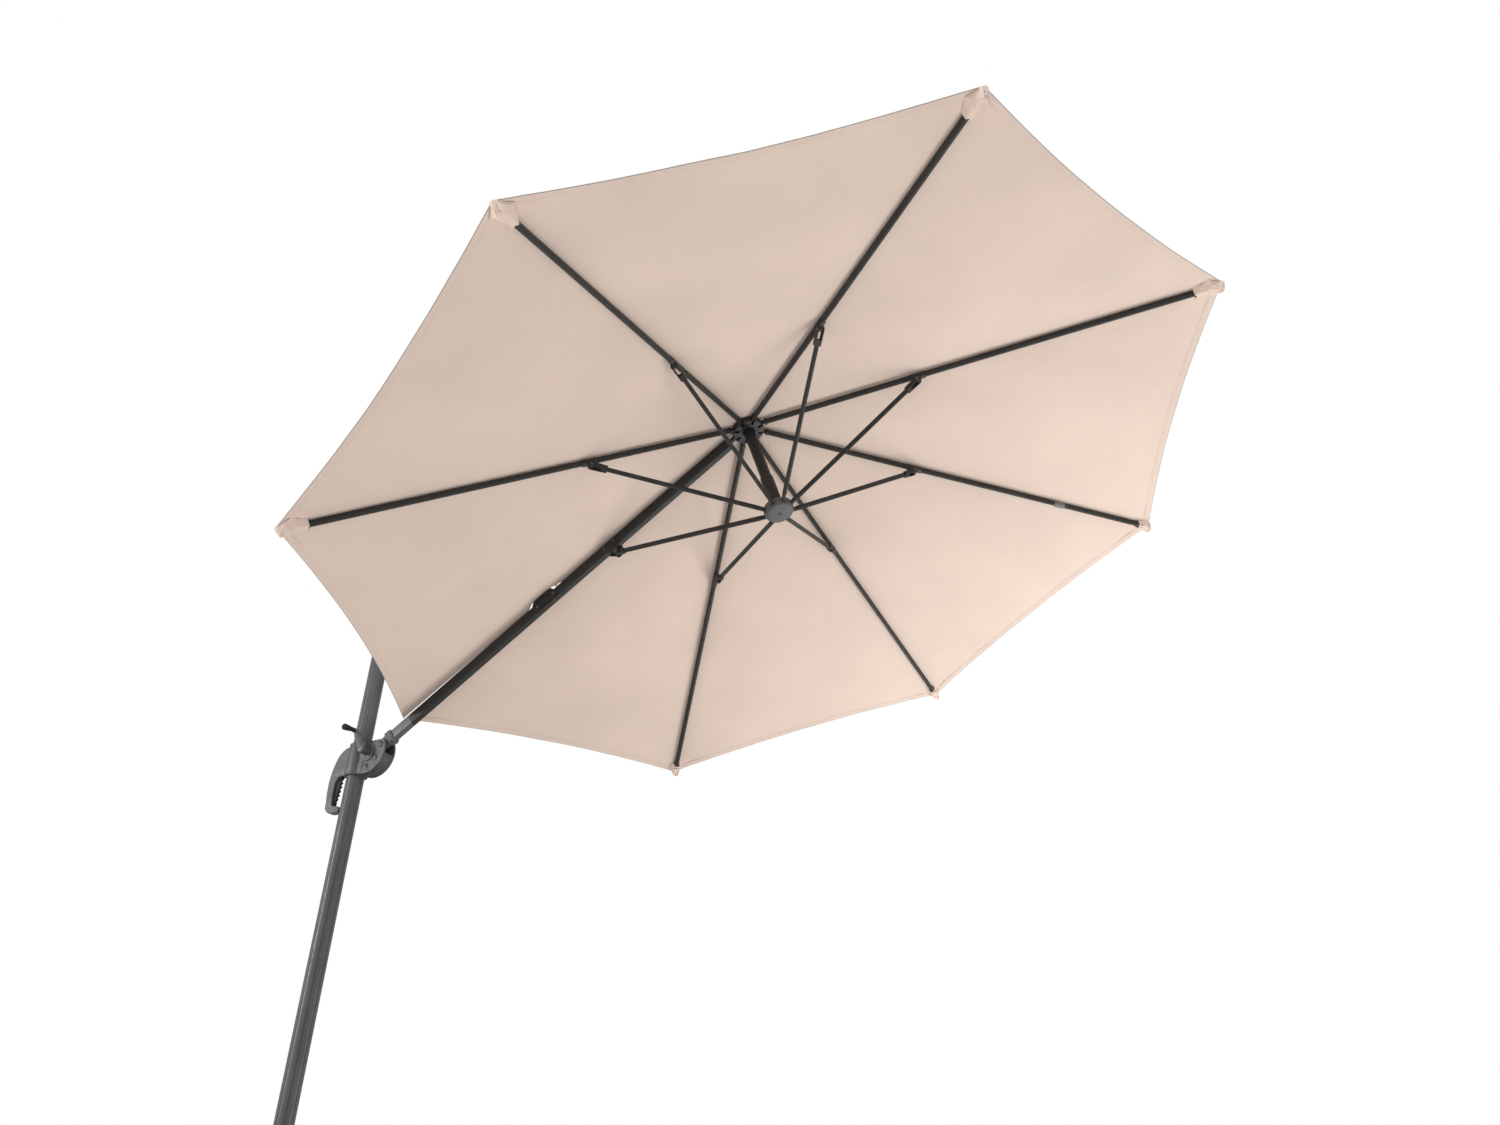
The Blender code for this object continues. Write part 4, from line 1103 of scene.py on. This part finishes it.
def build_mast():
    foot, top = (corner[2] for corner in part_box("mast_tube"))
    outer = mast_outline(MAST_RADIUS)
    shape = bmesh.new()
    walls = []
    for share in (1, 0.918):
        walls.append([[shape.verts.new((x * share, y * share, z)) for x, y in outer] for z in (foot, top)])
    count = len(outer)
    for n in range(count):
        after = (n + 1) % count
        (lo, hi), (in_lo, in_hi) = walls
        shape.faces.new((lo[n], lo[after], hi[after], hi[n]))
        shape.faces.new((in_lo[after], in_lo[n], in_hi[n], in_hi[after]))
        shape.faces.new((lo[after], lo[n], in_lo[n], in_lo[after]))
        shape.faces.new((hi[n], hi[after], in_hi[after], in_hi[n]))
    bmesh.ops.recalc_face_normals(shape, faces=shape.faces)
    piece("mast_profile", shape, WORLD, COATED, "mast", hides=["mast_tube"], sharp=28)

    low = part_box("mast_socket")[0][2]
    profile = [(0.0182, 0.012), (0.0182, 0.0), (0.052, 0.0), (0.054, 0.003), (0.054, 0.008),
               (0.044, 0.014), (0.0388, 0.026), (0.038, 0.040), (0.038, 0.205), (0.0397, 0.208),
               (0.0397, 0.222), (0.037, 0.230), (MAST_RADIUS + 0.0004, 0.230),
               (MAST_RADIUS + 0.0004, 0.012)]
    foot = lathe(profile, 96, 0.002)
    piece("mast_foot", foot, Matrix.Translation((0, 0, low)), COATED, "mast", hides=["mast_socket"])
    # the clamp's star knob
    (x0, y0, z0), (x1, y1, z1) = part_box("socket_screw")
    middle = (z0 + z1) / 2
    outline = []
    for n in range(96):
        a = 2 * math.pi * n / 96
        r = 0.0172 + 0.0017 * math.cos(6 * a)
        outline.append((r * math.cos(a), r * math.sin(a) + middle))
    knob = plate(outline, 0.052, y1, 0.0035, 4)
    shank = rod((0, 0.0385, middle), (0, 0.053, middle), 0.006, 32)
    boss = rod((0, 0.0465, middle), (0, 0.0525, middle), 0.0125, 32, 0.001)
    piece("socket_knob", joined(knob, shank, boss), WORLD, MOULDED_DARK, "mast", hides=["socket_screw"])

    place = Matrix.Translation(HEAD_PIVOT)
    x = -HEAD_PIVOT.x
    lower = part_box("mast_head")[0][2] - HEAD_PIVOT.z
    collar = [(0.0, lower), (0.0355, lower), (0.037, lower + 0.002), (0.037, lower + 0.014),
              (0.0358, lower + 0.016), (0.0358, lower + 0.020), (0.037, lower + 0.022), (0.037, 0.0105),
              (0.0355, 0.012), (0.0, 0.012)]
    collar = moved(lathe(collar, 96), Matrix.Translation((x, 0, 0)))
    ears = []
    for side in (-1, 1):
        outline = arc((0, 0), 0.016, -60, 90, 24) + [(-0.020, 0.0115), (x, 0.0115)]
        outline += [(x, -0.040), (x + 0.036, -0.040)]
        ears.append(plate(outline, side * 0.0098, side * 0.0158, 0.0012, 3))
    pin = shaft(0.0150, 0.005, 32)
    roof = top + 0.0003 - HEAD_PIVOT.z
    bore = rod((x, 0, lower - 0.01), (x, 0, roof), MAST_RADIUS + 0.0004, 64)
    head = cut(joined(collar, *ears, pin), bore)
    piece("mast_top_fork", head, place, MOULDED, "mast", hides=["mast_head"])
    heads = bolt_pair(0, 0.0158, 0, 0.0085, 0.0027, 0.45)
    piece("mast_top_bolts", together(*heads), place, STEEL, "mast")
    place = Matrix.Translation((0, 0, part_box("mast_cap")[0][2]))
    cap = [(0.0, 0.022), (0.012, 0.0215), (0.024, 0.0185), (0.033, 0.011), (0.0368, 0.003),
           (0.037, 0.0), (0.0, 0.0)]
    piece("mast_top_cap", lathe(cap, 96), place, MOULDED_DARK, "mast", hides=["mast_cap"])


# ---- carriage ----
def build_carriage():
    place = Matrix.Translation(ARM_PIVOT)
    mast = -ARM_PIVOT.x
    low, high = -0.076, 0.040
    drum, cheek, outer = 0.078, 0.0205, 0.028
    bore = MAST_RADIUS + 0.0033
    shoulder = softened([(0.0700, 0.0380), (0.0600, high), (mast, high)], 0.012, 5, closed=False)
    wall = arc((0, 0), drum, -112, 24, 60) + shoulder
    wall += [(mast, low), (mast + 0.030, low)]
    recess = arc((0, 0), drum - 0.0055, -104, 22, 48) + [(0.058, high - 0.0055)]
    recess += [(mast + 0.047, high - 0.0055), (mast + 0.047, low + 0.010)]
    rim = arc((0, 0), drum, -112, -8, 40) + arc((0, 0), drum - 0.007, -8, -112, 40)
    for name, side in (("near", -1), ("far", 1)):
        shell = plate(wall, side * cheek, side * outer, 0.0022, 3)
        ribbed = plate(rim, side * 0.0006, side * (cheek + 0.001))
        profile = softened([(0.0, low), (0.040, low), (0.040, high), (0.0, high)], 0.0025, 4, closed=False)
        sleeve = moved(lathe(profile, 96), Matrix.Translation((mast, 0, 0)))
        hub = rod((0, side * (outer - 0.003), 0), (0, side * (outer + 0.0030), 0), 0.0245, 64, 0.0012)
        ring = rod((0, side * (outer - 0.003), 0), (0, side * (outer + 0.0018), 0), 0.0335, 64, 0.0008)
        face = plate(recess, side * (outer - 0.0016), side * (outer + 0.01))
        other_half = block((-0.2, 0.0006 * side, -0.2), (0.2, -0.2 * side, 0.2))
        body = joined(cut(joined(shell, ribbed, sleeve), face), ring, hub)
        mast_bore = rod((mast, 0, low - 0.01), (mast, 0, high + 0.01), bore, 64)
        body = cut(body, other_half, mast_bore, shaft(0.06, 0.0066, 32))
        piece(f"shell_{name}", body, place, MOULDED, "carriage", hides=[f"carriage_shell_{name}"], sharp=32)
        # knurling across the rim
        bars = []
        for n in range(27):
            a = math.radians(-110 + 100 * n / 26)
            way = Vector((math.cos(a), 0, math.sin(a)))
            bar = block((-0.0009, side * 0.0030, -0.0004), (0.0009, side * 0.0245, 0.0011), 0.0004, 2)
            turn = placed((0, 0, 0), Vector((-math.sin(a), 0, math.cos(a))), way)
            bars.append(moved(bar, Matrix.Translation(way * drum) @ turn))
        piece(f"rim_grip_{name}", together(*bars), place, MOULDED_DARK, "carriage")
        bolts, seats = [], []
        for x, z in ((0.055, 0.021), (0.040, -0.026), (0.004, -0.054)):
            seats.append(washer((x, side * (outer - 0.0018), z), (0, side, 0), 0.0105, 0.0022))
            bolts.append(bolt((x, side * (outer + 0.0002), z), (0, side, 0), 0.0066, 0.0030, 0.5))
        for n in range(6):
            a = math.radians(60 * n + 15)
            at = (0.0195 * math.cos(a), side * (outer + 0.0028), 0.0195 * math.sin(a))
            bolts.append(bolt(at, (0, side, 0), 0.0026, 0.0014, 0.45, 20))
        piece(f"shell_bolts_{name}", together(*bolts), place, ZINC, "carriage")
        piece(f"bolt_seats_{name}", together(*seats), place, MOULDED_DARK, "carriage")

    outer_line = [(-0.095, 0.036), (-0.117, 0.036), (-0.132, 0.026), (-0.147, 0.010), (-0.159, -0.018)]
    outer_line += [(-0.167, -0.050), (-0.171, -0.086), (-0.169, -0.130), (-0.164, -0.160)]
    foot = arc((-0.132, -0.167), 0.033, 185, 270, 14) + [(-0.100, -0.200), (-0.096, -0.196)]
    inner = [(-0.096, -0.180), (-0.115, -0.176)] + arc((-0.123, -0.160), 0.014, 260, 190, 8)
    inner += [(-0.140, -0.125), (-0.139, -0.090), (-0.131, -0.072), (-0.117, -0.066), (-0.100, -0.072)]
    outline = softened(outer_line + foot + inner, 0.014, 6)
    grip = plate(outline, -0.014, 0.014, 0.0048, 5)
    sleeve = rod((mast, 0, low - 0.02), (mast, 0, high + 0.02), 0.0403, 96)
    recess = block((-0.1580, -0.0065, -0.168), (-0.109, 0.0065, -0.050))
    grip = cut(grip, sleeve, recess)
    piece("grip_loop", grip, place, MOULDED, "carriage", hides=["carriage_grip"], sharp=40)
    heads = bolt_pair(-0.139, 0.0138, -0.060, 0.0042, 0.0012, 0.4, 24)
    piece("grip_pin", together(*heads), place, ZINC, "carriage")

    teeth = []
    for n in range(161):
        share = n / 160
        z = -0.014 - 0.088 * share
        bite = 0.0032 * math.cos(2 * math.pi * 6 * share)
        teeth.append((0.0178 - 0.0095 * share**2 + bite, z))
    line = teeth + [(-0.008, -0.104), (-0.006, -0.060), (-0.005, -0.008)] + arc((0, 0), 0.0062, 180, 20, 16)
    trigger = cut(plate(line, -0.0055, 0.0055, 0.0009, 2), shaft(0.02, 0.0026, 24))
    place = Matrix.Translation(HINGE["grip_release"])
    piece("trigger_lever", trigger, place, RUBBER, "trigger", hides=["grip_trigger"], sharp=30)
    finish_node("carriage_bush", MOULDED_DARK)


def build_crank():
    place = Matrix.Translation(ARM_PIVOT)
    elbow = Vector((-0.044, -0.056, 0.075))
    start = Vector((0, -0.0535, 0))
    hub = rod((0, -0.0635, 0), (0, -0.0315, 0), 0.0130, 48, 0.0022)
    collar = rod((0, -0.0365, 0), (0, -0.0312, 0), 0.0148, 48, 0.0008)
    knob_end = elbow + Vector((-0.004, -0.058, -0.003))
    way = (elbow - start).normalized()
    out = (knob_end - elbow).normalized()
    path = [start + way * 0.002, start.lerp(elbow, 0.3), start.lerp(elbow, 0.6), elbow - way * 0.012]
    bend = [elbow - way * 0.012, elbow - way * 0.0045 + out * 0.0012,
            elbow - way * 0.0012 + out * 0.0045, elbow + out * 0.012]
    route = smooth_path(path, 5)[:-1] + smooth_path(bend, 6)
    turns = [math.radians(a) for a in range(0, 360, 12)]
    section = [(0.0098 * math.cos(a), 0.0160 * math.sin(a)) for a in turns]
    last = len(route) - 1
    lever = swept(route, section, [1.0 - 0.45 * smoothstep(0.0, 0.8, n / last) for n in range(last + 1)])
    knob_path = [elbow + out * d for d in (0.008, 0.012, 0.020, 0.030, 0.040, 0.050, 0.0545, 0.0572, 0.0582)]
    knob_size = [0.0066, 0.0074, 0.0078, 0.0090, 0.0104, 0.0112, 0.0108, 0.0086, 0.0045]
    knob = swept(knob_path, circle(1.0, 32), knob_size)
    handle = joined(hub, collar, lever)
    piece("crank_arm", handle, place, MOULDED, "crank", hides=["crank_handle"], sharp=40)
    piece("crank_knob", knob, place, RUBBER, "crank", sharp=40)
    piece("crank_screw", bolt((0, -0.0633, 0), (0, -1, 0), 0.0062, 0.0022, 0.5), place, ZINC, "crank")
    finish_node("crank_shaft", STEEL)
    finish_node("cord_spool", MOULDED_DARK)


# ---- base ----
def build_base():
    for node in ("base_beam_across", "base_beam_along"):
        finish_node(node, COATED)
    for number in range(1, 5):
        (x0, y0, z0), (x1, y1, z1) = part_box(f"ballast_slab_{number}")
        shape = block((x0, y0, z0), (x1, y1, z1))
        long = [e for e in shape.edges if e.calc_length() > 0.1]
        bmesh.ops.subdivide_edges(shape, edges=long, cuts=30, use_grid_fill=True)
        sharp = [e for e in shape.edges if len(e.link_faces) == 2 and e.calc_face_angle() > 0.5]
        bmesh.ops.bevel(shape, geom=sharp, offset=0.004, segments=3, profile=0.5, affect="EDGES")
        shape.normal_update()
        for vert in shape.verts:
            rough = 0.0007 * (noise.noise(vert.co * 38) - 0.6) + 0.0004 * (noise.noise(vert.co * 110) - 0.6)
            vert.co += vert.normal * min(0.0, rough)
        slab = f"ballast_slab_{number}"
        piece(f"ballast_{number}", shape, WORLD, CONCRETE, "base", hides=[slab], sharp=60)
    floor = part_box("base_centre_plate")[0][2]
    profile = [(0.0, 0.110), (0.013, 0.110), (0.0175, 0.1055), (0.0175, 0.0105), (0.0195, 0.008),
               (0.109, 0.008), (0.112, 0.0055), (0.112, 0.0), (0.0, 0.0)]
    disc = moved(lathe(profile, 96), Matrix.Translation((0, 0, floor)))
    ears = []
    eye_x, eye_z = -0.092, floor + 0.028
    for side in (-1, 1):
        near, far = sorted((side * 0.0185, side * 0.0245))
        outline = arc((eye_x, eye_z), 0.009, 0, 180, 20) + [(-0.101, floor + 0.004), (-0.083, floor + 0.004)]
        bore = rod((eye_x, near - 0.01, eye_z), (eye_x, far + 0.01, eye_z), 0.0035, 24)
        ears.append(cut(plate(outline, near, far, 0.0007, 2), bore))
    piece("centre_plate", joined(disc, *ears), WORLD, COATED, "base", hides=["base_centre_plate"])
    bolts = []
    for n in (0, 1, 2, 3, 5, 6, 7):  # the pedal stands where the eighth would be
        a = math.radians(45 * n)
        at = Vector((0.088 * math.cos(a), 0.088 * math.sin(a), floor + 0.008))
        bolts.append(washer(at, (0, 0, 1), 0.0115, 0.0016))
        bolts.append(bolt(at + Vector((0, 0, 0.0015)), (0, 0, 1), 0.0078, 0.005, 0.5))
    piece("base_bolts", together(*bolts), WORLD, STEEL, "base")
    place = Matrix.Translation((0, 0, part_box("swivel_bearing")[0][2]))
    ring = [(0.0180, 0.008), (0.050, 0.008), (0.052, 0.006), (0.052, 0.0), (0.0180, 0.0)]
    piece("bearing_ring", lathe(ring, 96, 0.0008), place, MOULDED_DARK, "base", hides=["swivel_bearing"])
    pin = HINGE["pedal_press"]
    clips = bolt_pair(pin.x, 0.0245, pin.z, 0.0062, 0.002, 0.3, 24)
    piece("pedal_pin_heads", together(*clips), WORLD, STEEL, "base")
    finish_node("pedal_pin", STEEL)
    lever = arc((0, 0), 0.009, -90, 60, 20)
    lever += [(-0.03, 0.016), (-0.15, 0.022), (-0.165, 0.018), (-0.168, 0.012), (-0.03, 0.002)]
    foot = plate(softened(lever, 0.006, 5), -0.0175, 0.0175, 0.0015, 3)
    pad = block((-0.172, -0.032, 0.012), (-0.095, 0.032, 0.0195), 0.003, 4)
    pedal = cut(joined(foot, pad), shaft(0.03, 0.0036, 24))
    piece("pedal_lever", pedal, Matrix.Translation(pin), MOULDED_DARK, "pedal", hides=["pedal"])
    treads = []
    for n in range(7):
        step = 0.0098 * n
        treads.append(block((-0.166 + step, -0.0265, 0.0190), (-0.161 + step, 0.0265, 0.0208), 0.0007, 2))
    piece("pedal_treads", together(*treads), Matrix.Translation(pin), RUBBER, "pedal")


# ---- stage ----
SKY_LIGHT = 0.5
CAMERA_ROLL = 0.98  # degrees


def build_stage():
    finish = Finish("pale_floor", 0.85)
    finish.colour(finish.noise(1.5, 3.0), [(0.3, (0.86, 0.86, 0.86)), (0.7, (0.89, 0.89, 0.89))])
    shape = bmesh.new()
    bmesh.ops.create_grid(shape, x_segments=2, y_segments=2, size=30)
    mesh = bpy.data.meshes.new("floor")
    shape.to_mesh(mesh)
    shape.free()
    mesh.materials.append(finish.material)
    floor = bpy.data.objects.new("floor", mesh)
    floor.location.z = -0.001
    bpy.context.scene.collection.objects.link(floor)

    world = bpy.data.worlds.new("studio")
    world.use_nodes = True
    tree = world.node_tree
    lit = tree.nodes["Background"]
    lit.inputs["Strength"].default_value = SKY_LIGHT
    seen = tree.nodes.new("ShaderNodeBackground")
    for each in (lit, seen):
        each.inputs["Color"].default_value = (1, 1, 1, 1)
    rays = tree.nodes.new("ShaderNodeLightPath")
    mix = tree.nodes.new("ShaderNodeMixShader")
    tree.links.new(rays.outputs["Is Camera Ray"], mix.inputs[0])
    tree.links.new(lit.outputs[0], mix.inputs[1])
    tree.links.new(seen.outputs[0], mix.inputs[2])
    tree.links.new(mix.outputs[0], tree.nodes["World Output"].inputs["Surface"])
    bpy.context.scene.world = world
    bpy.context.scene.view_settings.view_transform = "Standard"

    aims = (
        ("key_light", (-3.5, -4.5, 2.2), (0.3, 0, 1.2), 1.6, 165),
        ("sun_light", (3.5, -4.0, 5.5), (1.4, 0, 2.0), 2.5, 110),
        ("bounce_light", (2.6, 1.1, 0.02), (1.8, 0.2, 2.2), 3.0, 80),
    )
    for name, at, target, size, power in aims:
        lamp = bpy.data.lights.new(name, "AREA")
        lamp.size = size
        lamp.energy = power
        lamp.color = (1.0, 0.985, 0.965)
        obj = bpy.data.objects.new(name, lamp)
        obj.location = at
        obj.rotation_euler = (Vector(target) - Vector(at)).to_track_quat("-Z", "Y").to_euler()
        bpy.context.scene.collection.objects.link(obj)

    lens = bpy.data.cameras.new("camera")
    lens.lens = 27.18
    lens.sensor_width = 36
    lens.shift_x, lens.shift_y = -0.0141, -0.0078
    camera = bpy.data.objects.new("camera", lens)
    camera.location = (3.004, -2.807, 0.140)
    forward = Vector((-0.38389, 0.77449, 0.50278))
    roll = Matrix.Rotation(math.radians(CAMERA_ROLL), 3, "Z").to_quaternion()
    camera.rotation_euler = (forward.to_track_quat("-Z", "Y") @ roll).to_euler()
    bpy.context.scene.collection.objects.link(camera)
    bpy.context.scene.camera = camera


build_stage()
build_canopy()
build_tie()
build_crown()
build_runner()
build_linkage()
build_arm()
build_mast()
build_carriage()
build_crank()
build_base()
bpy.context.view_layer.update()
